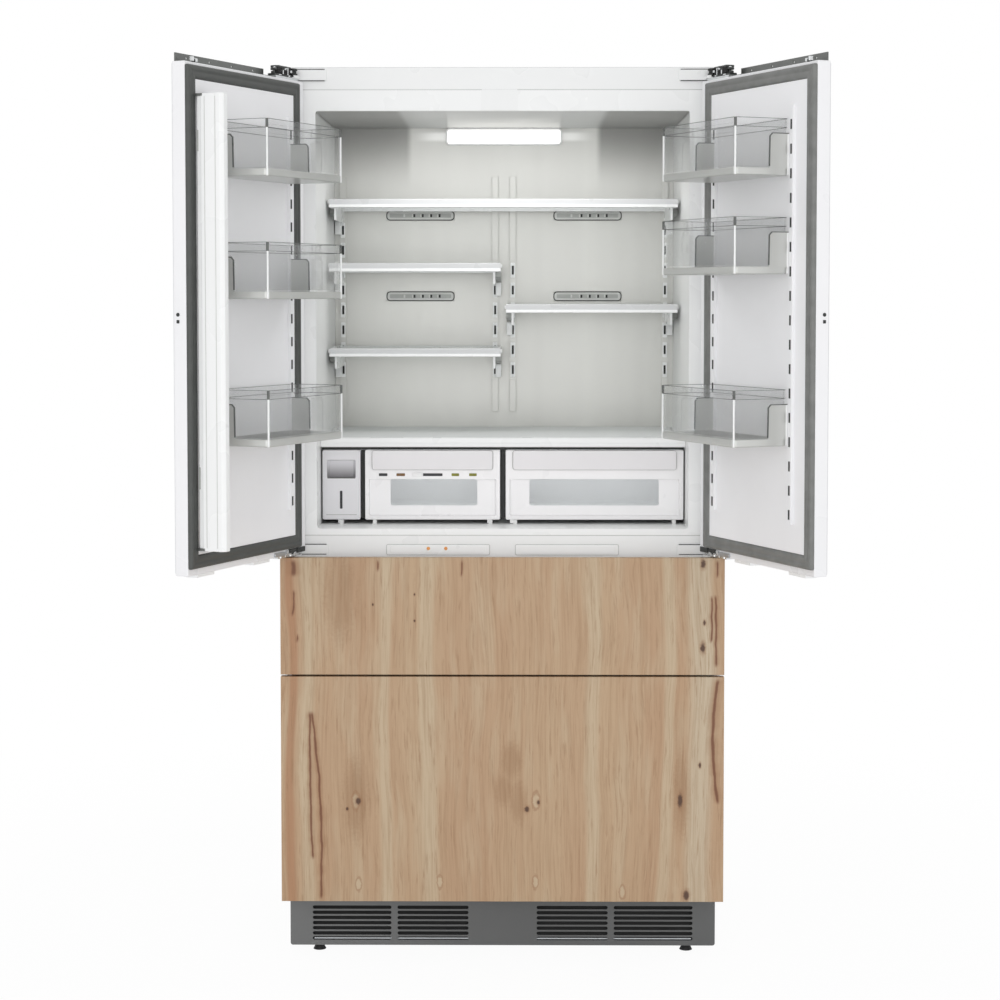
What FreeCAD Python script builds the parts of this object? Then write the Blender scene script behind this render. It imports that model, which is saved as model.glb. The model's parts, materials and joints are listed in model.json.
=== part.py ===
import FreeCAD, Part
import math
import os
import re
import Sketcher

# Built-in refrigerator with two upper doors and two freezer drawers, in millimetres.
# +X is the viewer's right, +Y goes into the cabinet, +Z is up.
# The origin is on the floor, in the middle of the footprint with both doors open.

doc = FreeCAD.newDocument("BuiltInRefrigerator")
sheet = doc.addObject("Spreadsheet::Sheet", "Sizes")
vector = FreeCAD.Vector
touch = 0.01
x_axis = vector(1, 0, 0)
y_axis = vector(0, 1, 0)
z_axis = vector(0, 0, 1)

# Driving sizes. Depths are measured from the cabinet face, positive into the cabinet.
sizes = {
    # Cabinet
    "face_plane": -57,
    "cabinet_width": 898,
    "cabinet_depth": 550,
    "cabinet_top": 1838,
    "case_bottom": 122,
    "case_wall": 1.5,
    "fit_gap": 0.3,
    # Face frame and its openings
    "frame_depth": 16,
    "stile_width": 66,
    "fridge_floor": 892,
    "fridge_ceiling": 1750,
    "freezer_ceiling": 806,
    "cross_rail_top": 612,
    "cross_rail_bottom": 582,
    "freezer_floor": 165,
    # Liners and machine bay
    "liner_wall": 3,
    "liner_depth": 470,
    "bay_front": 365,
    "bay_top": 292,
    "bay_side_wall": 9,
    "bay_foam": 42,
    # Rear duct panel, vents and lamp
    "duct_depth": 15,
    "duct_skin": 4,
    "duct_gap": 0.3,
    "vent_inner": 113,
    "vent_width": 152,
    "vent_height": 20,
    "vent_top_row": 1543,
    "vent_low_row": 1361,
    "vent_flange": 3,
    "vent_proud": 1.5,
    "vent_bar": 2,
    "lamp_width": 256,
    "lamp_bottom": 1714,
    "lamp_height": 34,
    "lamp_thick": 8,
    "lamp_corner": 10,
    # Shelf ladders
    "ladder_side": 19,
    "ladder_inner": 20,
    "ladder_width": 14,
    "ladder_thick": 6,
    "ladder_bottom": 1110,
    "ladder_top": 1640,
    "ladder_pitch": 45,
    "ladder_slot_width": 5,
    "ladder_slot_height": 22,
    "ladder_slot_first": 20,
    # Shelves
    "shelf_front": 230,
    "shelf_trim_height": 19,
    "shelf_trim_depth": 16,
    "shelf_rail": 12,
    "shelf_side_gap": 7,
    "shelf_centre_gap": 12,
    "glass_thick": 5,
    "glass_drop": 1,
    "glass_seat": 6,
    "bracket_thick": 5,
    "bracket_drop": 26,
    "top_shelf_rise": 506,
    "upper_left_shelf_rise": 368,
    "right_shelf_rise": 279,
    "lower_left_shelf_rise": 184,
    # Crisper cover, crispers and tank
    "cover_front": 80,
    "cover_height": 1075,
    "cover_trim_height": 20,
    "crisper_front": 92,
    "crisper_depth": 340,
    "crisper_bottom": 901,
    "crisper_height": 147,
    "crisper_wall": 3,
    "crisper_face": 14,
    "crisper_split": 6,
    "crisper_side_gap": 3,
    "tank_width": 80,
    "tank_gap": 10,
    "handle_panel_height": 41,
    "handle_panel_inset": 14,
    "handle_panel_proud": 8,
    "window_side": 51,
    "window_bottom": 28,
    "window_height": 58,
    "window_recess": 7,
    "runner_width": 8,
    "runner_inset": 20,
    "slider_groove_start": 100,
    "slider_groove_length": 64,
    "slider_groove_height": 5,
    "slider_groove_depth": 4,
    "slider_drop": 52,
    "slider_knob_width": 21,
    "slider_knob_height": 8,
    "slider_knob_proud": 4,
    "tank_grip_height": 34,
    "tank_grip_inset": 12,
    "tank_grip_recess": 9,
    "tank_level_width": 6,
    "tank_level_height": 46,
    "tank_level_recess": 3,
    # Cross rail covers
    "rail_cover_inner": 27,
    "rail_cover_width": 212,
    "rail_cover_bottom": 839,
    "rail_cover_height": 19,
    "rail_cover_proud": 3,
    # Doors, closed
    "door_open_angle": 114,
    "hinge_inset": 22,
    "hinge_forward": 25,
    "door_end_inset": 5,
    "door_centre_gap": 6,
    "door_bottom": 847,
    "door_top": 1807,
    "door_inner": 9,
    "door_thick": 29,
    "door_corner": 4,
    "gasket_end_inset": 30,
    "gasket_free_inset": 1,
    "gasket_rise": 13,
    "gasket_drop": 6,
    "gasket_band": 26,
    "gasket_clear": 0.5,
    "door_liner_thick": 6,
    "slot_rail_width": 12,
    "slot_rail_proud": 6,
    "slot_rail_bottom": 940,
    "slot_rail_top": 1730,
    "slot_rail_pitch": 46,
    "slot_rail_slot": 18,
    "slot_rail_slot_width": 5,
    # Door bins
    "bin_free_end": 82,
    "bin_hinge_end": 77,
    "bin_front": 120,
    "bin_wall": 3,
    "bin_floor": 14,
    "bin_corner": 12,
    "bin_height": 107,
    "left_top_bin_height": 1596,
    "left_middle_bin_height": 1366,
    "left_bottom_bin_height": 1088,
    "right_top_bin_height": 1598,
    "right_middle_bin_height": 1413,
    "right_bottom_bin_height": 1088,
    # Door hinges
    "hinge_pin_radius": 5,
    "hinge_pin_gap": 0.3,
    "hinge_arm_thick": 5,
    "hinge_arm_length": 86,
    "hinge_arm_radius": 12,
    "hinge_plate_gap": 0.5,
    "hinge_plate_thick": 6,
    "hinge_flange_thick": 3,
    "hinge_flange_width": 80,
    "hinge_flange_height": 19,
    "hinge_knuckle_radius": 13,
    # Panel brackets on the doors
    "panel_rail_hinge_end": 118,
    "panel_rail_height": 17,
    "panel_rail_sheet": 2.5,
    "panel_rail_foot": 20,
    "panel_rail_end": 10,
    "panel_hole_radius": 2.75,
    "panel_hole_pitch": 80,
    "panel_hole_first": 39,
    "panel_clip_length": 60,
    "panel_clip_height": 6,
    "panel_clip_depth": 22,
    "panel_clip_end": 26,
    # Mullion flap, folded
    "mullion_width": 66,
    "mullion_thick": 20,
    "mullion_pivot_inset": 28,
    "mullion_pivot_depth": 9.5,
    "mullion_pivot_offset": 5,
    "mullion_seal_gap": 1.5,
    "mullion_end_gap": 8,
    "mullion_pin_radius": 4,
    "mullion_pin_length": 20,
    "mullion_arm_thick": 5,
    "mullion_arm_reach": 34,
    # Freezer drawers
    "panel_overhang": 4,
    "panel_thick": 19,
    "panel_edge": 1.5,
    "drawer_panel_top": 839,
    "drawer_panel_split": 597,
    "drawer_panel_gap": 4,
    "drawer_panel_bottom": 130,
    "drawer_door_inset": 6,
    "drawer_door_thick": 33,
    "drawer_door_drop": 15,
    "drawer_gasket_band": 12,
    "basket_wall": 2.5,
    "basket_low_gap": 12,
    "basket_high_gap": 16,
    "upper_basket_depth": 400,
    "lower_basket_depth": 300,
    "slide_front": 30,
    "slide_length": 390,
    "slide_thick": 6,
    "slide_gap": 0.5,
    "slide_height": 36,
    "upper_slide_height": 650,
    "lower_slide_height": 420,
    # Base
    "foot_height": 17,
    "foot_radius": 13.5,
    "foot_cone_top": 9,
    "foot_cone_height": 9,
    "foot_stem_radius": 5,
    "foot_inset": 64,
    "foot_front": 45,
    "foot_back": 505,
    "pan_inset": 13,
    "pan_front": 24,
    "pan_sheet": 2.5,
    "pan_back_gap": 2,
    "grille_inset": 6,
    "grille_front": 12,
    "grille_thick": 11,
    "grille_slot_inner": 72,
    "grille_slot_middle": 224,
    "grille_slot_rib": 11,
    "grille_slot_end": 40,
    "grille_slot_height": 6.6,
    "grille_slot_pitch": 10.9,
    "grille_slot_first": 31,
    "grille_rows": 7,
    # Machine bay
    "compressor_radius": 78,
    "compressor_height": 165,
    "compressor_round": 38,
    "compressor_inset": 169,
    "compressor_depth": 457,
    "compressor_foot_width": 190,
    "compressor_foot_depth": 120,
    "compressor_foot_height": 18,
    "condenser_side": 40,
    "condenser_width": 290,
    "condenser_depth": 140,
    "condenser_height": 165,
    "condenser_fins": 24,
    "condenser_fin": 1.5,
    "condenser_tube_radius": 5,
    "condenser_tube_rows": 3,
    "fan_height": 110,
    "fan_radius": 72,
    "fan_hub_radius": 20,
    "fan_hub_length": 30,
    "fan_shaft_radius": 4,
    "fan_shaft_gap": 0.3,
    "fan_blade_thick": 2.5,
    "fan_blade_chord": 34,
    "fan_blade_pitch": 32,
    "fan_blades": 5,
    "fan_side": 20,
    "fan_motor_radius": 28,
    "fan_motor_length": 46,
    "fan_motor_gap": 12,
    "fan_post_width": 30,
    "cover_sheet": 1.5,
    "cover_louvre_height": 8,
    "cover_louvre_pitch": 22,
    "cover_louvre_length": 150,
    "cover_louvre_rows": 6,
    "cover_louvre_first": 110,
    "inlet_inset": 64,
    "inlet_height": 46,
    "inlet_width": 40,
    "inlet_tall": 30,
    "inlet_depth": 32,
    "inlet_wall": 4,
    # Evaporator
    "evaporator_width": 560,
    "evaporator_bottom": 420,
    "evaporator_height": 250,
    "evaporator_thick": 26,
    "evaporator_fins": 28,
    "evaporator_fin": 1.5,
    "evaporator_tube_radius": 5,
    "evaporator_tube_rows": 6,
    "evaporator_cover_gap": 36,
    "evaporator_cover_thick": 4,
    "cold_fan_height": 745,
    "cold_fan_radius": 46,
    "cold_fan_hub_radius": 14,
    "cold_fan_hub_length": 18,
    "cold_fan_blade_chord": 20,
    "cold_fan_hole_gap": 6,
    "cold_fan_motor_radius": 20,
    "cold_fan_motor_length": 12,
}
for row, (alias, value) in enumerate(sizes.items(), start=1):
    sheet.set("A" + str(row), alias)
    sheet.set("B" + str(row), str(value))
    sheet.setAlias("B" + str(row), alias)
doc.recompute()


def size(alias):
    return float(sheet.get(alias))


def formula(text):
    return re.sub(r"[a-z][a-z0-9_]*", lambda word: "Sizes." + word.group(0), str(text))


def bind(item, field, text):
    item.setExpression(field, formula(text))


def place(item, x, y, z):
    bind(item, "Placement.Base.x", x)
    bind(item, "Placement.Base.y", f"face_plane + {y}")
    bind(item, "Placement.Base.z", z)


# A block between low and high places, its depth counted from the cabinet face.
def block(name, x, y, z):
    item = doc.addObject("Part::Box", name)
    for field, (low, high) in {"Length": x, "Width": y, "Height": z}.items():
        bind(item, field, f"({high}) - ({low})")
    place(item, x[0], y[0], z[0])
    return item


along_turns = {
    "x": FreeCAD.Rotation(vector(0, 1, 0), 90),
    "y": FreeCAD.Rotation(vector(1, 0, 0), -90),
    "z": FreeCAD.Rotation(),
}


def rod(name, at, radius, length, along="z"):
    item = doc.addObject("Part::Cylinder", name)
    bind(item, "Radius", radius)
    bind(item, "Height", length)
    item.Placement = FreeCAD.Placement(vector(), along_turns[along])
    place(item, *at)
    return item


def fuse(name, *pieces):
    item = doc.addObject("Part::MultiFuse", name)
    item.Shapes = list(pieces)
    return item


def cut(name, base, *tools):
    item = doc.addObject("Part::Cut", name)
    item.Base = base
    item.Tool = tools[0] if len(tools) == 1 else fuse(name + "_tools", *tools)
    return item


def group(name, *pieces):
    item = doc.addObject("Part::Compound", name)
    item.Links = list(pieces)
    return item


def mirror(name, piece):
    item = doc.addObject("Part::Mirroring", name)
    item.Source = piece
    item.Base = vector()
    item.Normal = vector(1, 0, 0)
    return item


# Rounds the straight edges that run along one axis and pass the test.
def rounded(name, base, radius, axis, wanted):
    doc.recompute()
    item = doc.addObject("Part::Fillet", name)
    item.Base = base
    edges = []
    for number, edge in enumerate(base.Shape.Edges, start=1):
        if edge.Curve.TypeId != "Part::GeomLine":
            continue
        run = edge.tangentAt(edge.FirstParameter)
        if abs(run.dot(axis)) > 0.999 and wanted(edge.CenterOfMass):
            edges.append((number, radius, radius))
    item.Edges = edges
    return item


def origin_plane(body, role):
    return next(item for item in body.Origin.OriginFeatures if item.Role == role)


def attached_sketch(body, name, role):
    sketch = body.newObject("Sketcher::SketchObject", name)
    sketch.AttachmentSupport = [(origin_plane(body, role), "")]
    sketch.MapMode = "FlatFace"
    return sketch


def hold(sketch, name, *constraint):
    number = sketch.addConstraint(Sketcher.Constraint(*constraint))
    sketch.renameConstraint(number, name)
    return "Constraints." + name


# A rectangle of a sketch, tied to its low corner, width and height.
def rectangle(sketch, tag, u, v):
    first = sketch.GeometryCount
    corners = [vector(0, 0), vector(1, 0), vector(1, 1), vector(0, 1)]
    for number in range(4):
        sketch.addGeometry(Part.LineSegment(corners[number], corners[(number + 1) % 4]))
    for number in range(4):
        following = first + (number + 1) % 4
        sketch.addConstraint(Sketcher.Constraint("Coincident", first + number, 2, following, 1))
    for number, direction in enumerate(["Horizontal", "Vertical", "Horizontal", "Vertical"]):
        sketch.addConstraint(Sketcher.Constraint(direction, first + number))
    width = hold(sketch, tag + "_width", "DistanceX", first, 1, first, 2, 1.0)
    height = hold(sketch, tag + "_height", "DistanceY", first + 1, 1, first + 1, 2, 1.0)
    left = hold(sketch, tag + "_left", "DistanceX", -1, 1, first, 1, 0.1)
    low = hold(sketch, tag + "_low", "DistanceY", -1, 1, first, 1, 0.1)
    bind(sketch, width, f"({u[1]}) - ({u[0]})")
    bind(sketch, height, f"({v[1]}) - ({v[0]})")
    bind(sketch, left, u[0])
    bind(sketch, low, v[0])


# A round-ended slot of a sketch, between two named ends at one named height. It is drawn at its real place,
# because the sketch then settles at once.
def slot(sketch, tag, ends, middle, height):
    first = sketch.GeometryCount
    quarter = math.pi / 2
    round_end = size(height) / 2
    level = size(middle)
    low, high = (sum(sign * size(alias) for sign, alias in end) for end in ends)
    left_at = vector(low + round_end, level)
    right_at = vector(high - round_end, level)
    up = vector(0, round_end)
    left_arc = Part.Circle(left_at, z_axis, round_end)
    right_arc = Part.Circle(right_at, z_axis, round_end)
    sketch.addGeometry(Part.ArcOfCircle(left_arc, quarter, 3 * quarter))
    sketch.addGeometry(Part.LineSegment(left_at - up, right_at - up))
    sketch.addGeometry(Part.ArcOfCircle(right_arc, -quarter, quarter))
    sketch.addGeometry(Part.LineSegment(right_at + up, left_at + up))
    for number in range(4):
        following = first + (number + 1) % 4
        sketch.addConstraint(Sketcher.Constraint("Tangent", first + number, 2, following, 1))
    sketch.addConstraint(Sketcher.Constraint("Equal", first, first + 2))
    sketch.addConstraint(Sketcher.Constraint("Horizontal", first + 1))
    low_text, high_text = (" + ".join(f"({sign}) * {alias}" for sign, alias in end) for end in ends)
    radius = hold(sketch, tag + "_radius", "Radius", first, round_end)
    left = hold(sketch, tag + "_left", "DistanceX", -1, 1, first, 3, left_at.x)
    right = hold(sketch, tag + "_right", "DistanceX", -1, 1, first + 2, 3, right_at.x)
    height_up = hold(sketch, tag + "_level", "DistanceY", -1, 1, first, 3, level)
    bind(sketch, radius, f"{height} / 2")
    bind(sketch, left, f"{low_text} + {height} / 2")
    bind(sketch, right, f"{high_text} - {height} / 2")
    bind(sketch, height_up, middle)


# An upright plate that faces the viewer, padded back from its front plane.
def front_plate(name, front, depth, outline):
    body = doc.addObject("PartDesign::Body", name)
    bind(body, "Placement.Base.y", f"face_plane + {front}")
    sketch = attached_sketch(body, name + "_outline", "XZ_Plane")
    outline(sketch)
    pad = body.newObject("PartDesign::Pad", name + "_pad")
    pad.Profile = sketch
    pad.Reversed = True
    bind(pad, "Length", depth)
    return body


def front_pocket(body, name, depth, outline):
    sketch = attached_sketch(body, name + "_outline", "XZ_Plane")
    outline(sketch)
    pocket = body.newObject("PartDesign::Pocket", name)
    pocket.Profile = sketch
    bind(pocket, "Length", depth)
    return pocket


def repeat_up(body, name, feature, pitch, count):
    pattern = body.newObject("PartDesign::LinearPattern", name)
    pattern.Originals = [feature]
    pattern.Direction = (feature.Profile[0], ["V_Axis"])
    pattern.Mode = "Spacing"
    bind(pattern, "Offset", pitch)
    bind(pattern, "Occurrences", count)
    body.Tip = pattern


def rounded_body(body, name, radius, axis, wanted):
    doc.recompute()
    base = body.Tip
    names = []
    for number, edge in enumerate(base.Shape.Edges, start=1):
        run = edge.tangentAt(edge.FirstParameter)
        if abs(run.dot(axis)) > 0.999 and wanted(edge.CenterOfMass):
            names.append("Edge" + str(number))
    fillet = body.newObject("PartDesign::Fillet", name)
    fillet.Base = (base, names)
    bind(fillet, "Radius", radius)
    body.Tip = fillet


nodes = []


def node(label, item):
    item.Label = label
    nodes.append(item)
    return item


def anywhere(point):
    return True


# Cabinet shell
half = "cabinet_width / 2"
wall_side = f"({half} - stile_width)"
bay_side = f"({half} - bay_side_wall)"
opening = ("-" + wall_side, wall_side)
full_width = ("-" + half, half)
bay_span = ("-" + bay_side, bay_side)


def case_solid(name, wall):
    outside = block(
        name + "_outside",
        (f"{wall} - {half}", f"{half} - {wall}"),
        ("frame_depth", f"cabinet_depth - {wall}"),
        (f"case_bottom + {wall}", f"cabinet_top - {wall}"),
    )
    bay = block(
        name + "_bay",
        (f"-{bay_side} - {wall}", f"{bay_side} + {wall}"),
        (f"bay_front - {wall}", "cabinet_depth"),
        ("case_bottom", f"bay_top + {wall}"),
    )
    return cut(name, outside, bay)


def liner_space(name, low, high, back, wall):
    return block(
        name,
        (f"-{wall_side} - {wall}", f"{wall_side} + {wall}"),
        ("frame_depth", f"{back} + {wall}"),
        (f"{low} - {wall}", f"{high} + {wall}"),
    )


def freezer_space(name, wall):
    lower = liner_space(name + "_front", "freezer_floor", "freezer_ceiling", "bay_front - bay_foam", wall)
    upper = liner_space(name + "_upper", "bay_top + bay_foam", "freezer_ceiling", "liner_depth", wall)
    return fuse(name, lower, upper)


node("outer_case", cut("CaseShell", case_solid("CaseSolid", "0"), case_solid("CaseHollow", "case_wall")))
node(
    "insulation",
    cut(
        "Foam",
        case_solid("FoamSolid", "case_wall"),
        liner_space("FoamFridge", "fridge_floor", "fridge_ceiling", "liner_depth", "liner_wall"),
        freezer_space("FoamFreezer", "liner_wall"),
    ),
)
node(
    "freezer_liner",
    cut("FreezerLiner", freezer_space("FreezerOutside", "liner_wall"), freezer_space("FreezerInside", "0")),
)


# Face frame with one fridge opening and two freezer openings
def frame_outline(sketch):
    rectangle(sketch, "outside", full_width, ("case_bottom", "cabinet_top"))
    rectangle(sketch, "fridge", opening, ("fridge_floor", "fridge_ceiling"))
    rectangle(sketch, "upper", opening, ("cross_rail_top", "freezer_ceiling"))
    rectangle(sketch, "lower", opening, ("freezer_floor", "cross_rail_bottom"))


node("face_frame", front_plate("FaceFrame", "0", "frame_depth", frame_outline))

# Fridge liner with the runner ribs that the crispers and the tank slide on
crisper_left = (f"crisper_side_gap + tank_width + tank_gap - {wall_side}", "-crisper_split")
crisper_right = ("crisper_split", f"{wall_side} - crisper_side_gap")
tank_span = (f"crisper_side_gap - {wall_side}", f"crisper_side_gap + tank_width - {wall_side}")
crisper_back = "crisper_front + crisper_depth"
runner_places = [f"{tank_span[0]} + tank_width / 2"]
for low, high in (crisper_left, crisper_right):
    runner_places += [f"{low} + runner_inset", f"{high} - runner_inset"]
liner_pieces = [
    cut(
        "FridgeTub",
        liner_space("FridgeOutside", "fridge_floor", "fridge_ceiling", "liner_depth", "liner_wall"),
        liner_space("FridgeInside", "fridge_floor", "fridge_ceiling", "liner_depth", "0"),
    )
]
for number, middle in enumerate(runner_places):
    liner_pieces.append(
        block(
            "Runner" + str(number),
            (f"{middle} - runner_width / 2", f"{middle} + runner_width / 2"),
            ("crisper_front", crisper_back),
            ("fridge_floor - liner_wall / 2", "crisper_bottom - fit_gap"),
        )
    )
node("fridge_liner", fuse("FridgeLiner", *liner_pieces))

# Rear duct panel, a shallow tray against the liner's rear wall
duct_front = "(liner_depth - duct_depth)"
duct_span = (f"duct_gap - {wall_side}", f"{wall_side} - duct_gap")
duct_height = ("fridge_floor + duct_gap", "fridge_ceiling - duct_gap")
vent_places = []
for row in ("vent_top_row", "vent_low_row"):
    vent_places.append((("-vent_inner - vent_width", "-vent_inner"), row))
    vent_places.append((("vent_inner", "vent_inner + vent_width"), row))


def vent_block(name, span, row, grow, depth):
    return block(
        name,
        (f"{span[0]} - {grow}", f"{span[1]} + {grow}"),
        depth,
        (f"{row} - {grow}", f"{row} + vent_height + {grow}"),
    )


duct_tools = [
    block(
        "DuctHollow",
        (f"{duct_span[0]} + duct_skin", f"{duct_span[1]} - duct_skin"),
        (f"{duct_front} + duct_skin", "liner_depth"),
        (f"{duct_height[0]} + duct_skin", f"{duct_height[1]} - duct_skin"),
    )
]
vents = []
vent_back = f"{duct_front} + duct_skin"
for number, (span, row) in enumerate(vent_places):
    tag = "Vent" + str(number)
    duct_tools.append(vent_block(tag + "Hole", span, row, "0", (f"{duct_front} - 1", f"{vent_back} + 1")))
    flange = vent_block(tag + "Flange", span, row, "vent_flange", (f"{duct_front} - vent_proud", duct_front))
    plug = vent_block(tag + "Plug", span, row, "-fit_gap", (duct_front, vent_back))
    airways = []
    for lane in range(2):
        low = f"{row} + fit_gap + vent_bar + {lane} * vent_height / 2"
        airways.append(
            block(
                tag + "Airway" + str(lane),
                (f"{span[0]} + vent_bar + fit_gap", f"{span[1]} - vent_bar - fit_gap"),
                (f"{duct_front} - vent_proud", vent_back),
                (low, f"{low} + vent_height / 2 - 2 * vent_bar"),
            )
        )
    vents.append(cut(tag, fuse(tag + "Body", flange, plug), *airways))
duct_tray = block("DuctTray", duct_span, (duct_front, "liner_depth"), duct_height)
node("duct_panel", cut("DuctPanel", duct_tray, *duct_tools))
node("air_vents", group("AirVents", *vents))


def lamp_outline(sketch):
    span = ("-lamp_width / 2", "lamp_width / 2")
    rectangle(sketch, "lens", span, ("lamp_bottom", "lamp_bottom + lamp_height"))


lamp = front_plate("LampLens", f"{duct_front} - lamp_thick", "lamp_thick", lamp_outline)
rounded_body(lamp, "LampCorners", "lamp_corner", y_axis, anywhere)
node("lamp_lens", lamp)

# Shelf ladders: slotted strips on the duct panel
ladder_front = f"({duct_front} - ladder_thick)"
ladder_rows = math.floor(
    (size("ladder_top") - size("ladder_bottom") - 2 * size("ladder_slot_first")) / size("ladder_pitch") + 1
)
ladders = []
outer_ladder = f"({wall_side} - ladder_side)"
for number, middle in enumerate(("-" + outer_ladder, "-ladder_inner", "ladder_inner", outer_ladder)):
    tag = "Ladder" + str(number)

    def strip_outline(sketch, middle=middle):
        span = (f"{middle} - ladder_width / 2", f"{middle} + ladder_width / 2")
        rectangle(sketch, "strip", span, ("ladder_bottom", "ladder_top"))

    def slot_outline(sketch, middle=middle):
        low = "ladder_bottom + ladder_slot_first - ladder_slot_height / 2"
        span = (f"{middle} - ladder_slot_width / 2", f"{middle} + ladder_slot_width / 2")
        rectangle(sketch, "slot", span, (low, f"{low} + ladder_slot_height"))

    strip = front_plate(tag, ladder_front, "ladder_thick", strip_outline)
    pocket = front_pocket(strip, tag + "Slot", "ladder_thick", slot_outline)
    repeat_up(strip, tag + "Slots", pocket, "ladder_pitch", ladder_rows)
    ladders.append(strip)
node("shelf_ladders", group("ShelfLadders", *ladders))

# Shelves: a trimmed frame with a glass pane, carried by brackets on the ladders
panes = []


def pane_space(name, span, front, back, inset, depth):
    return block(
        name,
        (f"{span[0]} + {inset}", f"{span[1]} - {inset}"),
        (f"{front} + shelf_trim_depth - shelf_rail + {inset}", f"{back} - {inset}"),
        depth,
    )


def glazed_frame(name, span, front, back, top, trim):
    outside = block(name + "Outside", span, (front, back), (f"{top} - {trim}", top))
    recess_floor = f"{top} - glass_drop - glass_thick"
    seat = "(shelf_rail - glass_seat)"
    recess = pane_space(name + "Recess", span, front, back, seat, (recess_floor, f"{top} + 1"))
    through = pane_space(name + "Through", span, front, back, "shelf_rail", (f"{top} - {trim} - 1", top))
    pane_inset = f"({seat} + fit_gap)"
    pane_depth = (recess_floor, f"{top} - glass_drop")
    panes.append(pane_space(name + "Pane", span, front, back, pane_inset, pane_depth))
    return cut(name + "Frame", outside, recess, through)


# A shelf at its height above the crisper cover.
def shelf(name, span, rise, brackets):
    shelf_back = f"{ladder_front} - 2"
    top = f"cover_height + {rise}"
    pieces = [glazed_frame(name, span, "shelf_front", shelf_back, top, "shelf_trim_height")]
    for number, middle in enumerate(brackets):
        pieces.append(
            block(
                name + "Bracket" + str(number),
                (f"{middle} - bracket_thick / 2", f"{middle} + bracket_thick / 2"),
                ("shelf_front + shelf_trim_depth", ladder_front),
                (f"{top} - shelf_trim_height - bracket_drop", f"{top} - shelf_trim_height / 2"),
            )
        )
    return fuse(name, *pieces)


shelf_low = f"shelf_side_gap - {wall_side}"
shelf_high = f"{wall_side} - shelf_side_gap"
left_half = (shelf_low, "-shelf_centre_gap / 2")
right_half = ("shelf_centre_gap / 2", shelf_high)
left_ladders = ("-" + outer_ladder, "-ladder_inner")
right_ladders = ("ladder_inner", outer_ladder)
outer_ladders = ("-" + outer_ladder, outer_ladder)
node("top_shelf", shelf("TopShelf", (shelf_low, shelf_high), "top_shelf_rise", outer_ladders))
left_shelves = [
    shelf("UpperLeftShelf", left_half, "upper_left_shelf_rise", left_ladders),
    shelf("LowerLeftShelf", left_half, "lower_left_shelf_rise", left_ladders),
]
node("left_shelves", group("LeftShelves", *left_shelves))
node("right_shelf", shelf("RightShelf", right_half, "right_shelf_rise", right_ladders))
cover_span = (f"fit_gap - {wall_side}", f"{wall_side} - fit_gap")
cover_back = f"{duct_front} - fit_gap"
node(
    "crisper_cover",
    glazed_frame("CrisperCover", cover_span, "cover_front", cover_back, "cover_height", "cover_trim_height"),
)
node("shelf_glass", group("ShelfGlass", *panes))

# Crispers: open tubs with a thick front, a handle panel and a recessed window
crisper_top = "crisper_bottom + crisper_height"
slider_level = f"{crisper_top} - slider_drop"


def tub(name, span, wall_front):
    outside = block(name + "Outside", span, ("crisper_front", crisper_back), ("crisper_bottom", crisper_top))
    hollow = block(
        name + "Hollow",
        (f"{span[0]} + crisper_wall", f"{span[1]} - crisper_wall"),
        (f"crisper_front + {wall_front}", f"{crisper_back} - crisper_wall"),
        ("crisper_bottom + crisper_wall", f"{crisper_top} + 1"),
    )
    return outside, hollow


def crisper(name, span, *grooves):
    outside, hollow = tub(name, span, "crisper_face")
    panel = block(
        name + "HandlePanel",
        (f"{span[0]} + handle_panel_inset", f"{span[1]} - handle_panel_inset"),
        ("crisper_front - handle_panel_proud", "crisper_front"),
        (f"{crisper_top} - handle_panel_height", crisper_top),
    )
    window = block(
        name + "Window",
        (f"{span[0]} + window_side", f"{span[1]} - window_side"),
        ("crisper_front - 1", "crisper_front + window_recess"),
        ("crisper_bottom + window_bottom", "crisper_bottom + window_bottom + window_height"),
    )
    return cut(name, fuse(name + "Body", outside, panel), hollow, window, *grooves)


groove_start = f"{crisper_left[0]} + slider_groove_start"
groove = block(
    "SliderGroove",
    (groove_start, f"{groove_start} + slider_groove_length"),
    ("crisper_front - 1", "crisper_front + slider_groove_depth"),
    (f"{slider_level} - slider_groove_height / 2", f"{slider_level} + slider_groove_height / 2"),
)
node("left_crisper", crisper("LeftCrisper", crisper_left, groove))
node("right_crisper", crisper("RightCrisper", crisper_right))
knob_low = f"{groove_start} + fit_gap"
knob = block(
    "SliderKnob",
    (knob_low, f"{knob_low} + slider_knob_width"),
    ("crisper_front - slider_knob_proud", "crisper_front - fit_gap"),
    (f"{slider_level} - slider_knob_height / 2", f"{slider_level} + slider_knob_height / 2"),
)
tongue = block(
    "SliderTongue",
    (knob_low, f"{knob_low} + slider_knob_width"),
    ("crisper_front - fit_gap", "crisper_front + slider_groove_depth - fit_gap"),
    (
        f"{slider_level} - slider_groove_height / 2 + fit_gap",
        f"{slider_level} + slider_groove_height / 2 - fit_gap",
    ),
)
node("humidity_slider", fuse("HumiditySlider", knob, tongue))

# Water tank with a finger recess and a level slot in its front
tank_outside, tank_hollow = tub("Tank", tank_span, "crisper_face")
tank_middle = f"({tank_span[0]} + tank_width / 2)"
tank_grip = block(
    "TankGrip",
    (f"{tank_span[0]} + tank_grip_inset", f"{tank_span[1]} - tank_grip_inset"),
    ("crisper_front - 1", "crisper_front + tank_grip_recess"),
    (f"{crisper_top} - tank_grip_inset - tank_grip_height", f"{crisper_top} - tank_grip_inset"),
)
tank_level = block(
    "TankLevel",
    (f"{tank_middle} - tank_level_width / 2", f"{tank_middle} + tank_level_width / 2"),
    ("crisper_front - 1", "crisper_front + tank_level_recess"),
    ("crisper_bottom + window_bottom", "crisper_bottom + window_bottom + tank_level_height"),
)
node("water_tank", cut("WaterTank", tank_outside, tank_hollow, tank_grip, tank_level))

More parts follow.
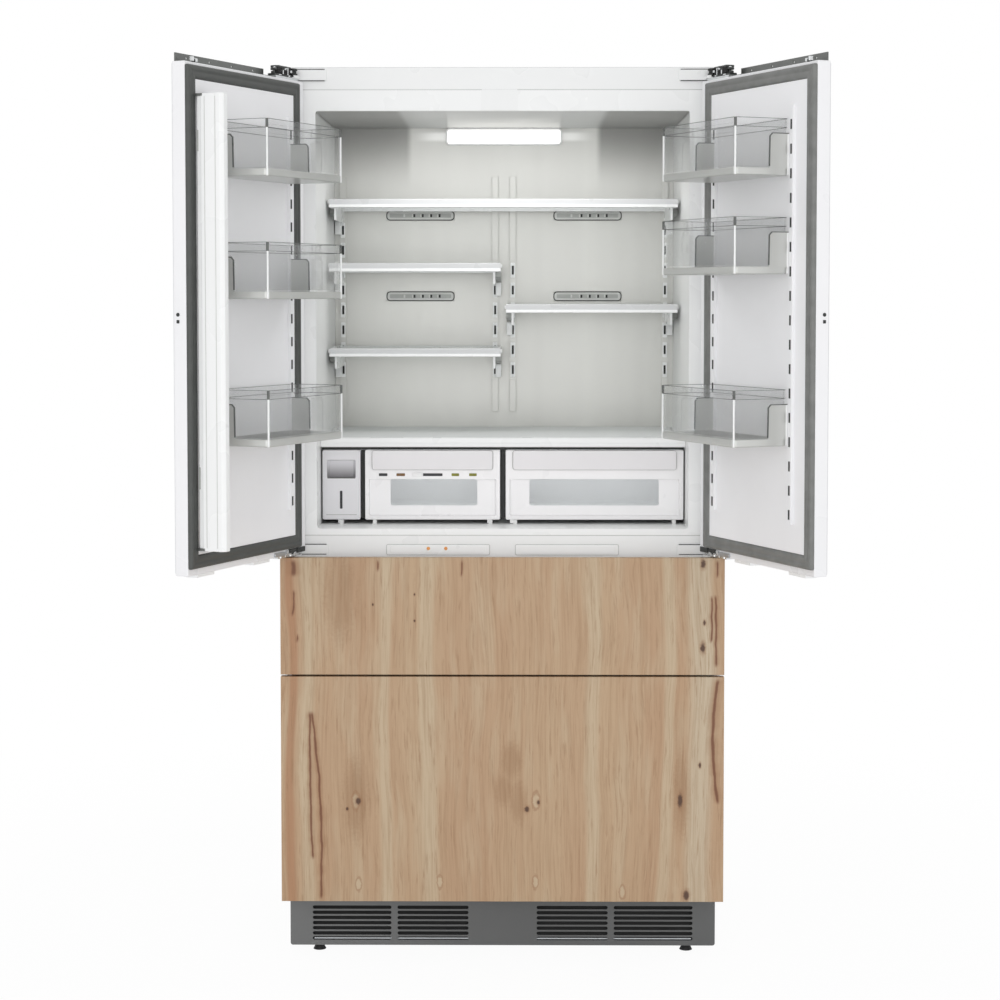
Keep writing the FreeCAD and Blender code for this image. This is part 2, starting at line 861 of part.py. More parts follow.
# Covers on the rail between the fridge and the freezer
rail_cover = block(
    "RailCover",
    ("-rail_cover_inner - rail_cover_width", "-rail_cover_inner"),
    ("-rail_cover_proud", "0"),
    ("rail_cover_bottom", "rail_cover_bottom + rail_cover_height"),
)
node("rail_covers", group("RailCovers", rail_cover, mirror("RailCoverRight", rail_cover)))

# Doors: modelled closed on the left, then turned open about the hinge pins
pivot_x = f"(hinge_inset - {half})"
pivot_y = "-hinge_forward"
hinge_point = vector(
    size("hinge_inset") - size("cabinet_width") / 2, size("face_plane") - size("hinge_forward"), 0
)
door_turn = FreeCAD.Placement(vector(), FreeCAD.Rotation(z_axis, -size("door_open_angle")), hinge_point)
door_low = f"door_end_inset - {half}"
door_free = "-door_centre_gap / 2"
door_front = "-door_inner - door_thick"
gasket_x = (f"gasket_end_inset - {half}", f"{door_free} - gasket_free_inset")
gasket_z = ("door_bottom + gasket_rise", "door_top - gasket_drop")
gasket_y = ("-door_inner", "-gasket_clear")
liner_face = "(door_liner_thick - door_inner)"
rail_face = f"({liner_face} + slot_rail_proud)"


def on_door(label, *pieces):
    leaf = group("Left" + label, *pieces)
    leaf.Placement = door_turn
    return leaf


def both_doors(label, *pieces):
    leaf = on_door(label, *pieces)
    node("left_" + label, leaf)
    node("right_" + label, mirror("Right" + label, leaf))


slab = block("DoorSlab", (door_low, door_free), (door_front, "-door_inner"), ("door_bottom", "door_top"))
slab_front = size("face_plane") - size("door_inner") - size("door_thick")


def on_slab_front(point):
    return abs(point.y - slab_front) < touch


both_doors("door_panel", rounded("DoorSlabRounded", slab, size("door_corner"), z_axis, on_slab_front))


def inset_span(span, inset):
    return (f"{span[0]} + ({inset})", f"{span[1]} - ({inset})")


seal_outside = block("SealOutside", gasket_x, gasket_y, gasket_z)
seal_inside = block(
    "SealInside",
    inset_span(gasket_x, "gasket_band"),
    ("-door_inner - 1", "0"),
    inset_span(gasket_z, "gasket_band"),
)
both_doors("gasket", cut("DoorSeal", seal_outside, seal_inside))

# Inner door liner with two slotted rails for the bins
liner_inset = "gasket_band + fit_gap"
liner_plate = block(
    "DoorLinerPlate",
    inset_span(gasket_x, liner_inset),
    ("-door_inner", liner_face),
    inset_span(gasket_z, liner_inset),
)
bin_span = (f"bin_hinge_end - {half}", "-bin_free_end")
rail_pieces = []
rail_slots = []
slot_count = math.floor((size("slot_rail_top") - size("slot_rail_bottom")) / size("slot_rail_pitch"))
for side, middle in (("Hinge", f"({bin_span[0]})"), ("Free", f"({bin_span[1]} + slot_rail_width / 2)")):
    rail_pieces.append(
        block(
            "SlotRail" + side,
            (f"{middle} - slot_rail_width / 2", f"{middle} + slot_rail_width / 2"),
            (liner_face, rail_face),
            ("slot_rail_bottom", "slot_rail_top"),
        )
    )
    for number in range(slot_count):
        low = f"slot_rail_bottom + {number} * slot_rail_pitch + slot_rail_slot / 2"
        rail_slots.append(
            block(
                "RailSlot" + side + str(number),
                (f"{middle} - slot_rail_slot_width / 2", f"{middle} + slot_rail_slot_width / 2"),
                (f"{rail_face} - slot_rail_proud", f"{rail_face} + 1"),
                (low, f"{low} + slot_rail_slot"),
            )
        )
door_liner = cut("DoorLiner", fuse("DoorLinerBody", liner_plate, *rail_pieces), *rail_slots)

# Mullion flap, folded against the inside of the left door, with its two pivot arms
mullion_x = (
    "-mullion_pivot_inset + mullion_pivot_depth - mullion_thick - mullion_seal_gap",
    "-mullion_pivot_inset + mullion_pivot_depth - mullion_seal_gap",
)
mullion_y = (
    "mullion_pivot_depth - mullion_pivot_offset",
    "mullion_pivot_depth - mullion_pivot_offset + mullion_width",
)
mullion_z = ("fridge_floor + mullion_end_gap", "fridge_ceiling - mullion_end_gap")
flap = block("MullionFlap", mullion_x, mullion_y, mullion_z)
flap_bores = []
pivot_arms = []
arm_x = ("-mullion_pivot_inset - mullion_arm_reach", "-mullion_pivot_inset + 2 * mullion_pin_radius")
pin_inside = "mullion_pin_length + fit_gap"
for end in ("Low", "High"):
    if end == "Low":
        arm_z = (f"{mullion_z[0]} - fit_gap - mullion_arm_thick", f"{mullion_z[0]} - fit_gap")
        pin_z = f"{mullion_z[0]} - fit_gap"
        bore_z = f"{mullion_z[0]}"
    else:
        arm_z = (f"{mullion_z[1]} + fit_gap", f"{mullion_z[1]} + fit_gap + mullion_arm_thick")
        pin_z = f"{mullion_z[1]} + fit_gap - mullion_pin_length"
        bore_z = f"{mullion_z[1]} - {pin_inside}"
    pivot_at = ("-mullion_pivot_inset", "mullion_pivot_depth")
    flap_bores.append(
        rod("FlapBore" + end, (*pivot_at, bore_z), "mullion_pin_radius + fit_gap", pin_inside)
    )
    arm_y = ("fit_gap", "mullion_pivot_depth + 2 * mullion_pin_radius")
    foot_x = (arm_x[0], "-mullion_pivot_inset - 3 * mullion_pin_radius")
    pivot_arms.append(
        fuse(
            "PivotArm" + end,
            block("ArmPlate" + end, arm_x, arm_y, arm_z),
            block("ArmFoot" + end, foot_x, (liner_face, arm_y[1]), arm_z),
            rod("ArmPin" + end, (*pivot_at, pin_z), "mullion_pin_radius", "mullion_pin_length"),
        )
    )
both_doors("door_liner", door_liner)
node("mullion_arms", on_door("mullion_arms", *pivot_arms))
node("mullion_flap", on_door("mullion_flap", cut("MullionBody", flap, *flap_bores)))


# Door bins: clear open trays with a thick base, hung on the slot rails
def door_bin(name, low):
    outside = block(name + "Outside", bin_span, (rail_face, "bin_front"), (low, f"{low} + bin_height"))
    front = size("face_plane") + size("bin_front")
    corners = rounded(
        name + "Corners", outside, size("bin_corner"), z_axis, lambda point: abs(point.y - front) < touch
    )
    hollow = block(
        name + "Hollow",
        inset_span(bin_span, "bin_wall"),
        (f"{rail_face} + bin_wall", "bin_front - bin_wall"),
        (f"{low} + bin_floor", f"{low} + bin_height + 1"),
    )
    inner_corner = size("bin_corner") - size("bin_wall")
    inner_front = front - size("bin_wall")
    inner = rounded(
        name + "HollowCorners", hollow, inner_corner, z_axis, lambda point: abs(point.y - inner_front) < touch
    )
    return cut(name, corners, inner)


for place_name in ("top", "middle", "bottom"):
    left_bin = on_door(place_name + "_bin", door_bin("Left_" + place_name, f"left_{place_name}_bin_height"))
    node(f"left_{place_name}_bin", left_bin)
    right_bin = door_bin("Right_" + place_name, f"right_{place_name}_bin_height")
    right_leaf = on_door(place_name + "_bin_right", right_bin)
    node(f"right_{place_name}_bin", mirror("Right" + place_name + "_bin", right_leaf))

# Panel brackets: a holed rail along the door's top edge and two clips under it
rail_high = f"{door_free} - panel_rail_end"
rail_low = f"(panel_rail_hinge_end - {half})"
upright = block(
    "PanelRailUpright",
    (rail_low, rail_high),
    (door_front, f"{door_front} + panel_rail_sheet"),
    ("door_top", "door_top + panel_rail_height"),
)
rail_foot = block(
    "PanelRailFoot",
    (rail_low, rail_high),
    (door_front, f"{door_front} + panel_rail_foot"),
    ("door_top", "door_top + panel_rail_sheet"),
)
rail_ends = size("panel_rail_hinge_end") + size("panel_rail_end") + 2 * size("panel_hole_first")
hole_run = (size("cabinet_width") - size("door_centre_gap")) / 2 - rail_ends
hole_count = math.floor(hole_run / size("panel_hole_pitch") + 1)
rail_holes = []
for number in range(hole_count):
    rail_holes.append(
        rod(
            "PanelHole" + str(number),
            (
                f"{rail_low} + panel_hole_first + {number} * panel_hole_pitch",
                f"{door_front} - 1",
                "door_top + (panel_rail_height + panel_rail_sheet) / 2",
            ),
            "panel_hole_radius",
            "panel_rail_sheet + 2",
            "y",
        )
    )
clips = []
for number, low in enumerate(
    (f"{rail_low} + panel_clip_end", f"{rail_high} - panel_clip_end - panel_clip_length")
):
    clips.append(
        block(
            "PanelClip" + str(number),
            (low, f"{low} + panel_clip_length"),
            (f"{door_front} + panel_rail_sheet", f"{door_front} + panel_rail_sheet + panel_clip_depth"),
            ("door_bottom - panel_clip_height", "door_bottom"),
        )
    )
panel_rail = cut("PanelRail", fuse("PanelRailBody", upright, rail_foot), *rail_holes)
both_doors("panel_brackets", panel_rail, *clips)

# Hinges: an arm on each end of the door turns on the pin of a bracket on the face frame
arms = []
brackets = []
for end in ("High", "Low"):
    if end == "High":
        arm_z = ("door_top", "door_top + hinge_arm_thick")
        plate_low = "door_top + hinge_arm_thick + hinge_plate_gap"
        pin_z = ("door_top + hinge_plate_gap", f"{plate_low} + hinge_plate_thick")
        flange_z = (plate_low, f"{plate_low} + hinge_flange_height")
    else:
        arm_z = ("door_bottom - hinge_arm_thick", "door_bottom")
        plate_low = "door_bottom - hinge_arm_thick - hinge_plate_gap - hinge_plate_thick"
        pin_z = (plate_low, "door_bottom - hinge_plate_gap")
        flange_high = f"{plate_low} + hinge_plate_thick"
        flange_z = (f"{flange_high} - hinge_flange_height", flange_high)
    plate_z = (plate_low, f"{plate_low} + hinge_plate_thick")
    arm_bar = block(
        "ArmBar" + end,
        (pivot_x, f"{pivot_x} + hinge_arm_length"),
        (f"{pivot_y} - hinge_arm_radius", f"{pivot_y} + hinge_arm_radius"),
        arm_z,
    )
    arm_eye = rod("ArmEye" + end, (pivot_x, pivot_y, arm_z[0]), "hinge_arm_radius", "hinge_arm_thick")
    bore_at = (pivot_x, pivot_y, f"{arm_z[0]} - 1")
    arm_bore = rod("ArmBore" + end, bore_at, "hinge_pin_radius + hinge_pin_gap", "hinge_arm_thick + 2")
    arms.append(cut("HingeArm" + end, fuse("HingeArmBody" + end, arm_bar, arm_eye), arm_bore))
    knuckle = rod("Knuckle" + end, (pivot_x, pivot_y, plate_low), "hinge_knuckle_radius", "hinge_plate_thick")
    web = block(
        "HingeWeb" + end,
        (f"{pivot_x} - hinge_knuckle_radius", f"{pivot_x} + hinge_knuckle_radius"),
        (pivot_y, "0"),
        plate_z,
    )
    flange = block(
        "HingeFlange" + end,
        (f"{pivot_x} - hinge_knuckle_radius", f"{pivot_x} - hinge_knuckle_radius + hinge_flange_width"),
        ("-hinge_flange_thick", "0"),
        flange_z,
    )
    pin_at = (pivot_x, pivot_y, pin_z[0])
    pin = rod("HingePin" + end, pin_at, "hinge_pin_radius", f"{pin_z[1]} - ({pin_z[0]})")
    bracket = fuse("HingeBracket" + end, knuckle, web, flange, pin)
    brackets += [bracket, mirror("HingeBracketRight" + end, bracket)]
both_doors("hinge_arms", *arms)
node("hinge_brackets", group("HingeBrackets", *brackets))

# Freezer drawers: wood front, insulated inner door, seal, basket and slides
panel_back = "-door_inner - drawer_door_thick"
panel_front = f"{panel_back} - panel_thick"
slide_inner = f"({wall_side} - 2 * slide_thick - slide_gap)"
fixed_rails = []
drawers = {
    "upper": {
        "panel": ("drawer_panel_split + drawer_panel_gap / 2", "drawer_panel_top"),
        "door": ("drawer_panel_split + drawer_panel_gap / 2", "drawer_panel_top - drawer_door_drop"),
        "hole": ("cross_rail_top", "freezer_ceiling"),
        "depth": "upper_basket_depth",
        "slide": "upper_slide_height",
    },
    "lower": {
        "panel": ("drawer_panel_bottom", "drawer_panel_split - drawer_panel_gap / 2"),
        "door": ("drawer_panel_bottom", "drawer_panel_split - drawer_panel_gap / 2"),
        "hole": ("freezer_floor", "cross_rail_bottom"),
        "depth": "lower_basket_depth",
        "slide": "lower_slide_height",
    },
}
for name, drawer in drawers.items():
    tag = name.capitalize()

    def wood_outline(sketch, drawer=drawer):
        span = (f"-{half} - panel_overhang", f"{half} + panel_overhang")
        rectangle(sketch, "wood", span, drawer["panel"])

    wood = front_plate(tag + "Wood", panel_front, "panel_thick", wood_outline)
    rounded_body(wood, tag + "WoodEdges", "panel_edge", x_axis, lambda point: point.y < 1)
    node(name + "_drawer_panel", wood)
    door_span = inset_span(full_width, "drawer_door_inset")
    inner_door = block(tag + "InnerDoor", door_span, (panel_back, "-door_inner"), drawer["door"])
    node(name + "_drawer_door", inner_door)
    low, high = drawer["hole"]
    band = "drawer_gasket_band"
    ring_z = (f"{low} - {band}", f"{high} + {band}")
    ring = block(tag + "Ring", inset_span(opening, "-" + band), gasket_y, ring_z)
    ring_hole = block(tag + "RingHole", opening, ("-door_inner - 1", "0"), (low, high))
    node(name + "_drawer_gasket", cut(tag + "Seal", ring, ring_hole))
    basket_span = ("-" + slide_inner, slide_inner)
    basket_z = (f"{low} + basket_low_gap", f"{high} - basket_high_gap")
    shell = block(tag + "BasketOutside", basket_span, ("-door_inner", drawer["depth"]), basket_z)
    hollow = block(
        tag + "BasketHollow",
        inset_span(basket_span, "basket_wall"),
        ("basket_wall - door_inner", f"{drawer['depth']} - basket_wall"),
        (f"{basket_z[0]} + basket_wall", f"{basket_z[1]} + 1"),
    )
    node(name + "_basket", cut(tag + "Basket", shell, hollow))
    slide_z = (f"{drawer['slide']} - slide_height / 2", f"{drawer['slide']} + slide_height / 2")
    slide_y = ("slide_front", "slide_front + slide_length")
    runner_x = (slide_inner, f"{slide_inner} + slide_thick")
    moving_slide = block(tag + "Slide", runner_x, slide_y, slide_z)
    moving_slides = group(tag + "Slides", moving_slide, mirror(tag + "SlideLeft", moving_slide))
    node(name + "_drawer_slides", moving_slides)
    fixed_x = (f"{slide_inner} + slide_thick + slide_gap", wall_side)
    fixed_rail = block(tag + "Rail", fixed_x, slide_y, slide_z)
    fixed_rails += [fixed_rail, mirror(tag + "RailLeft", fixed_rail)]
node("drawer_rails", group("DrawerRails", *fixed_rails))

# Base: pan, toe grille and levelling feet
pan_span = inset_span(full_width, "pan_inset")
pan_floor = "foot_height + pan_sheet"
pan_y = ("pan_front", "cabinet_depth - pan_back_gap")
pan_pieces = [block("PanFloor", pan_span, pan_y, ("foot_height", pan_floor))]
for side, span in (
    ("Left", (pan_span[0], f"{pan_span[0]} + pan_sheet")),
    ("Right", (f"{pan_span[1]} - pan_sheet", pan_span[1])),
):
    pan_pieces.append(block("PanSide" + side, span, pan_y, ("foot_height", "case_bottom")))
node("base_pan", fuse("BasePan", *pan_pieces))


def grille_outline(sketch):
    span = inset_span(full_width, "grille_inset")
    rectangle(sketch, "grille", span, ("foot_height", "case_bottom - fit_gap"))


def grille_slots(sketch):
    inner_group = ([(1, "grille_slot_inner")], [(1, "grille_slot_middle")])
    slot_end = [(0.5, "cabinet_width"), (-1, "grille_inset"), (-1, "grille_slot_end")]
    outer_group = ([(1, "grille_slot_middle"), (1, "grille_slot_rib")], slot_end)
    for tag, (low, high) in (("inner", inner_group), ("outer", outer_group)):
        mirrored = [[(-sign, alias) for sign, alias in end] for end in (high, low)]
        slot(sketch, tag + "_right", (low, high), "grille_slot_first", "grille_slot_height")
        slot(sketch, tag + "_left", mirrored, "grille_slot_first", "grille_slot_height")


grille = front_plate("ToeGrille", "grille_front", "grille_thick", grille_outline)
grille_pocket = front_pocket(grille, "GrilleSlot", "grille_thick", grille_slots)
repeat_up(grille, "GrilleSlots", grille_pocket, "grille_slot_pitch", "grille_rows")
node("toe_grille", grille)

feet = []
for row_name, depth in (("Front", "foot_front"), ("Back", "foot_back")):
    foot_x = f"{half} - foot_inset"
    cone = doc.addObject("Part::Cone", "FootCone" + row_name)
    bind(cone, "Radius1", "foot_radius")
    bind(cone, "Radius2", "foot_cone_top")
    bind(cone, "Height", "foot_cone_height")
    place(cone, foot_x, depth, "0")
    stem = rod("FootStem" + row_name, (foot_x, depth, "0"), "foot_stem_radius", "foot_height")
    foot = fuse("Foot" + row_name, cone, stem)
    feet += [foot, mirror("FootLeft" + row_name, foot)]
node("feet", group("Feet", *feet))

# Machine bay: compressor, condenser, fan and its motor
can_bottom = f"{pan_floor} + compressor_foot_height"
compressor_side = f"(compressor_inset - {half})"
can_at = (compressor_side, "compressor_depth", can_bottom)
can = rod("CompressorCan", can_at, "compressor_radius", "compressor_height")
doc.recompute()
can_round = doc.addObject("Part::Fillet", "CompressorRound")
can_round.Base = can
rim = size("compressor_round")
can_round.Edges = [
    (number, rim, rim) for number, edge in enumerate(can.Shape.Edges, start=1) if len(edge.Vertexes) == 1
]
can_foot = block(
    "CompressorFoot",
    (f"{compressor_side} - compressor_foot_width / 2", f"{compressor_side} + compressor_foot_width / 2"),
    ("compressor_depth - compressor_foot_depth / 2", "compressor_depth + compressor_foot_depth / 2"),
    (pan_floor, can_bottom),
)
node("compressor", fuse("Compressor", can_round, can_foot))


# A pack of thin upright fins on straight tubes that run along X
def fin_pack(name, span, depth, height, fins, fin, tube_radius, tube_rows):
    width = f"(({span[1]}) - ({span[0]}))"
    count = int(size(fins))
    pieces = []
    for number in range(count):
        low = f"{span[0]} + {number} * ({width} - {fin}) / ({fins} - 1)"
        pieces.append(block(f"{name}Fin{number}", (low, f"{low} + {fin}"), depth, height))
    rows = int(size(tube_rows))
    tall = f"(({height[1]}) - ({height[0]}))"
    for number in range(rows):
        level = f"{height[0]} + {tall} * (2 * {number} + 1) / (2 * {tube_rows})"
        middle = f"({depth[0]} + ({depth[1]})) / 2"
        pieces.append(rod(f"{name}Tube{number}", (span[0], middle, level), tube_radius, width, "x"))
    return fuse(name, *pieces)


node(
    "condenser",
    fin_pack(
        "Condenser",
        ("condenser_side", "condenser_side + condenser_width"),
        ("compressor_depth - condenser_depth / 2", "compressor_depth + condenser_depth / 2"),
        (pan_floor, f"{pan_floor} + condenser_height"),
        "condenser_fins",
        "condenser_fin",
        "condenser_tube_radius",
        "condenser_tube_rows",
    ),
)
evaporator_y = ("liner_depth - evaporator_thick", "liner_depth")
node(
    "evaporator",
    fin_pack(
        "Evaporator",
        ("-evaporator_width / 2", "evaporator_width / 2"),
        evaporator_y,
        ("evaporator_bottom", "evaporator_bottom + evaporator_height"),
        "evaporator_fins",
        "evaporator_fin",
        "evaporator_tube_radius",
        "evaporator_tube_rows",
    ),
)
evaporator_front = "(liner_depth - evaporator_cover_gap)"
cover_plate = block(
    "EvaporatorCoverPlate",
    (f"fit_gap - {wall_side}", f"{wall_side} - fit_gap"),
    (evaporator_front, f"{evaporator_front} + evaporator_cover_thick"),
    ("bay_top + bay_foam + fit_gap", "freezer_ceiling - fit_gap"),
)
cover_hole = rod(
    "EvaporatorCoverHole",
    ("0", f"{evaporator_front} - 1", "cold_fan_height"),
    "cold_fan_radius + cold_fan_hole_gap",
    "evaporator_cover_thick + 2",
    "y",
)
node("evaporator_cover", cut("EvaporatorCover", cover_plate, cover_hole))


# A fan of pitched blades on a bored hub, turned to its axis about its middle
def fan(name, middle, axis_turn, radius, hub_radius, hub_length, chord):
    hub = Part.makeCylinder(size(hub_radius), size(hub_length), vector(0, 0, -size(hub_length) / 2))
    thick = size("fan_blade_thick")
    wide = size(chord)
    root = size(hub_radius) / 2
    shape = hub
    count = int(size("fan_blades"))
    for number in range(count):
        blade = Part.makeBox(size(radius) - root, wide, thick, vector(root, -wide / 2, -thick / 2))
        blade.rotate(vector(), x_axis, size("fan_blade_pitch"))
        blade.rotate(vector(), z_axis, number * 360 / count)
        shape = shape.fuse(blade)
    tip = Part.makeCylinder(size(radius), 2 * size(hub_length), vector(0, 0, -size(hub_length)))
    bore_radius = size("fan_shaft_radius") + size("fan_shaft_gap")
    bore = Part.makeCylinder(bore_radius, 2 * size(hub_length), vector(0, 0, -size(hub_length)))
    item = doc.addObject("Part::Feature", name)
    item.Shape = shape.common(tip).cut(bore).removeSplitter()
    item.Placement = FreeCAD.Placement(middle, axis_turn)
    return item


bay_middle = size("face_plane") + size("compressor_depth")
fan_middle = vector(-size("fan_side"), bay_middle, size("fan_height"))
node(
    "condenser_fan",
    fan(
        "CondenserFan",
        fan_middle,
        along_turns["x"],
        "fan_radius",
        "fan_hub_radius",
        "fan_hub_length",
        "fan_blade_chord",
    ),
)
cold_hub_middle = "(liner_depth - cold_fan_motor_length - fit_gap - cold_fan_hub_length / 2)"
cold_motor_front = size("liner_depth") - size("cold_fan_motor_length")
cold_depth = cold_motor_front - size("fit_gap") - size("cold_fan_hub_length") / 2
cold_middle = vector(0, size("face_plane") + cold_depth, size("cold_fan_height"))
node(
    "evaporator_fan",
    fan(
        "EvaporatorFan",
        cold_middle,
        along_turns["y"],
        "cold_fan_radius",
        "cold_fan_hub_radius",
        "cold_fan_hub_length",
        "cold_fan_blade_chord",
    ),
)

# Fan motors: one on a post in the machine bay, one on the freezer liner's rear wall
motor_high = "-fan_side - fan_hub_length / 2 - fan_motor_gap"
motor_low = f"{motor_high} - fan_motor_length"
motor_middle = f"({motor_high} - fan_motor_length / 2)"
bay_motor = fuse(
    "BayMotor",
    rod(
        "BayMotorCan",
        (motor_low, "compressor_depth", "fan_height"),
        "fan_motor_radius",
        "fan_motor_length",
        "x",
    ),
    rod(
        "BayMotorShaft",
        (motor_high, "compressor_depth", "fan_height"),
        "fan_shaft_radius",
        "fan_motor_gap + fan_hub_length",
        "x",
    ),
    block(
        "BayMotorPost",
        (f"{motor_middle} - fan_post_width / 2", f"{motor_middle} + fan_post_width / 2"),
        ("compressor_depth - fan_post_width / 2", "compressor_depth + fan_post_width / 2"),
        (pan_floor, "fan_height - fan_motor_radius / 2"),
    ),
)
cold_motor = fuse(
    "ColdMotor",
    rod(
        "ColdMotorCan",
        ("0", "liner_depth - cold_fan_motor_length", "cold_fan_height"),
        "cold_fan_motor_radius",
        "cold_fan_motor_length",
        "y",
    ),
    rod(
        "ColdMotorShaft",
        ("0", f"{cold_hub_middle} - cold_fan_hub_length / 2", "cold_fan_height"),
        "fan_shaft_radius",
        "cold_fan_hub_length + fit_gap",
        "y",
    ),
)
node("fan_motors", group("FanMotors", bay_motor, cold_motor))

# Rear cover of the machine bay with louvres and the mains inlet
inlet_side = f"({half} - inlet_inset)"
inlet_x = (f"{inlet_side} - inlet_width / 2", f"{inlet_side} + inlet_width / 2")
inlet_z = ("inlet_height", "inlet_height + inlet_tall")
cover_y = ("cabinet_depth - pan_back_gap", "cabinet_depth - pan_back_gap + cover_sheet")


def cover_outline(sketch):
    rectangle(sketch, "cover", inset_span(bay_span, "fit_gap"), (pan_floor, "bay_top - fit_gap"))
    rectangle(sketch, "inlet", inset_span(inlet_x, "inlet_wall"), inset_span(inlet_z, "inlet_wall"))


def louvre_outline(sketch):
    for tag, low, high in (("left", -2, -1), ("middle", -0.5, 0.5)):
        ends = ([(low, "cover_louvre_length")], [(high, "cover_louvre_length")])
        slot(sketch, tag, ends, "cover_louvre_first", "cover_louvre_height")


rear_cover = front_plate("RearCover", cover_y[0], "cover_sheet", cover_outline)
louvre = front_pocket(rear_cover, "Louvre", "cover_sheet", louvre_outline)
repeat_up(rear_cover, "Louvres", louvre, "cover_louvre_pitch", "cover_louvre_rows")
inlet_y = (f"{cover_y[0]} - inlet_depth", cover_y[0])
inlet_body = block("InletBody", inlet_x, inlet_y, inlet_z)
inlet_hollow = block(
    "InletHollow",
    inset_span(inlet_x, "inlet_wall"),
    (f"{inlet_y[0]} + inlet_wall", f"{inlet_y[1]} + 1"),
    inset_span(inlet_z, "inlet_wall"),
)
inlet = cut("PowerInlet", inlet_body, inlet_hollow)
node("rear_cover", group("RearCoverAndInlet", rear_cover, inlet))

# Build, check and write each piece
doc.recompute()
for item in doc.Objects:
    if "Invalid" in item.State or "Error" in item.State:
        raise RuntimeError("failed object: " + item.Label)
os.makedirs("parts", exist_ok=True)
for item in nodes:
    if item.Shape.isNull() or not item.Shape.isValid():
        raise RuntimeError("bad shape: " + item.Label)
    item.Shape.exportStep("parts/" + item.Label + ".step")
print(len(nodes), "pieces written")
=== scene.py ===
import json
import math

import bmesh
import bpy
from mathutils import Matrix, Vector

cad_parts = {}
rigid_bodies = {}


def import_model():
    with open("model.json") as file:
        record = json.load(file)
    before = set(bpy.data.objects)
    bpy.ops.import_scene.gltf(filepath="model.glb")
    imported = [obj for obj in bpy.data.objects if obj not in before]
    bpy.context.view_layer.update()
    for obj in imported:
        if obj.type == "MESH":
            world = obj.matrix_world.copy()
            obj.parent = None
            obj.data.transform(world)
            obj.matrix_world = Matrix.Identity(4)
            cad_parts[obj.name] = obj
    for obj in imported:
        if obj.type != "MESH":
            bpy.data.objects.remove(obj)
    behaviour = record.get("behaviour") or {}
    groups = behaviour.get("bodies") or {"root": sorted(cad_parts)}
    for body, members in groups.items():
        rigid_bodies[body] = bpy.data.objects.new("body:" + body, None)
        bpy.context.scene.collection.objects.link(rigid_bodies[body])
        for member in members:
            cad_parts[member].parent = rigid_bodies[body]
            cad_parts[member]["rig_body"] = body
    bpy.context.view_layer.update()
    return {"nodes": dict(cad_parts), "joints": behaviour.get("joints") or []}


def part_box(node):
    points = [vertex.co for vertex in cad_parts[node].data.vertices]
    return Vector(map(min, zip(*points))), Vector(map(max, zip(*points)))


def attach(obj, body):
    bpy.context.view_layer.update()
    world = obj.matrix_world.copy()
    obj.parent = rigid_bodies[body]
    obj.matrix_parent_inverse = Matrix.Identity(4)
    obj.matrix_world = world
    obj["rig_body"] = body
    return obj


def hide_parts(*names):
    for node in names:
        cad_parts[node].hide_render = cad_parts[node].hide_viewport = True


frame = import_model()
scene = bpy.context.scene
nodes = frame["nodes"]
sides = ("left", "right")
finishes = {}
print("frame loaded with", len(nodes), "nodes")

# sizes below are millimetres, with Y counted from the front of the white face frame
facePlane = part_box("face_frame")[0].y
toMetres = Matrix.Translation((0, facePlane, 0)) @ Matrix.Scale(0.001, 4)
mirrorX = Matrix.Scale(-1, 4, (1, 0, 0))

photoCamera = {
    "lens": 76.57,
    "sensor": 36.0,
    "place": (0.032, -4.4278, 1.3730),
    "tilt": 87.184,
    "turn": 0.417,
    "shift": (-0.0026, -0.10),
}


def placeCamera(spec):
    data = bpy.data.cameras.new("photoCamera")
    data.lens = spec["lens"]
    data.sensor_width = spec["sensor"]
    data.shift_x, data.shift_y = spec["shift"]
    data.clip_end = 60
    data.dof.use_dof = False
    camera = bpy.data.objects.new("photoCamera", data)
    camera.location = spec["place"]
    camera.rotation_euler = (math.radians(spec["tilt"]), 0, math.radians(spec["turn"]))
    scene.collection.objects.link(camera)
    scene.camera = camera


placeCamera(photoCamera)
scene.view_settings.view_transform = "Standard"
print("camera placed")


# a door is drawn shut, on the left, and swung to where the frame holds it
def doorSwing(side):
    joint = next(j for j in frame["joints"] if j["name"] == side + "_door_hinge")
    pivot = Vector(joint["pos_m"])
    turn = -math.radians(joint["range_deg"][0]) * joint["axis"][2]
    return Matrix.Translation(pivot) @ Matrix.Rotation(turn, 4, "Z") @ Matrix.Translation(-pivot)


doorPlace = {
    "left": doorSwing("left") @ toMetres,
    "right": doorSwing("right") @ toMetres @ mirrorX,
}


# mesh helpers
def easeEdges(bm, edges, width, segs):
    bmesh.ops.bevel(bm, geom=edges, offset=width, segments=segs, profile=0.5, affect="EDGES",
                    clamp_overlap=True)


def addBox(bm, xs, ys, zs, soft=0.0, segs=2):
    corners = [bm.verts.new((x, y, z)) for x in xs for y in ys for z in zs]
    quads = ((0, 1, 3, 2), (4, 6, 7, 5), (0, 4, 5, 1), (2, 3, 7, 6), (0, 2, 6, 4), (1, 5, 7, 3))
    faces = [bm.faces.new([corners[i] for i in quad]) for quad in quads]
    if soft:
        edges = list(dict.fromkeys(edge for face in faces for edge in face.edges))
        easeEdges(bm, edges, soft, segs)


# a span made narrower at both ends, or wider where the amount is negative
def inset(span, amount):
    return span[0] + amount, span[1] - amount


def around(middle, half):
    return middle - half, middle + half


def moved(span, amount):
    return span[0] + amount, span[1] + amount


def roundRect(xs, zs, radius, steps=5):
    (x0, x1), (z0, z1) = xs, zs
    r = max(radius, 0.05)
    corners = ((x1 - r, z0 + r, -90), (x1 - r, z1 - r, 0), (x0 + r, z1 - r, 90), (x0 + r, z0 + r, 180))
    points = []
    for cx, cz, start in corners:
        for k in range(steps + 1):
            angle = math.radians(start + 90 * k / steps)
            points.append((cx + r * math.cos(angle), cz + r * math.sin(angle)))
    return points


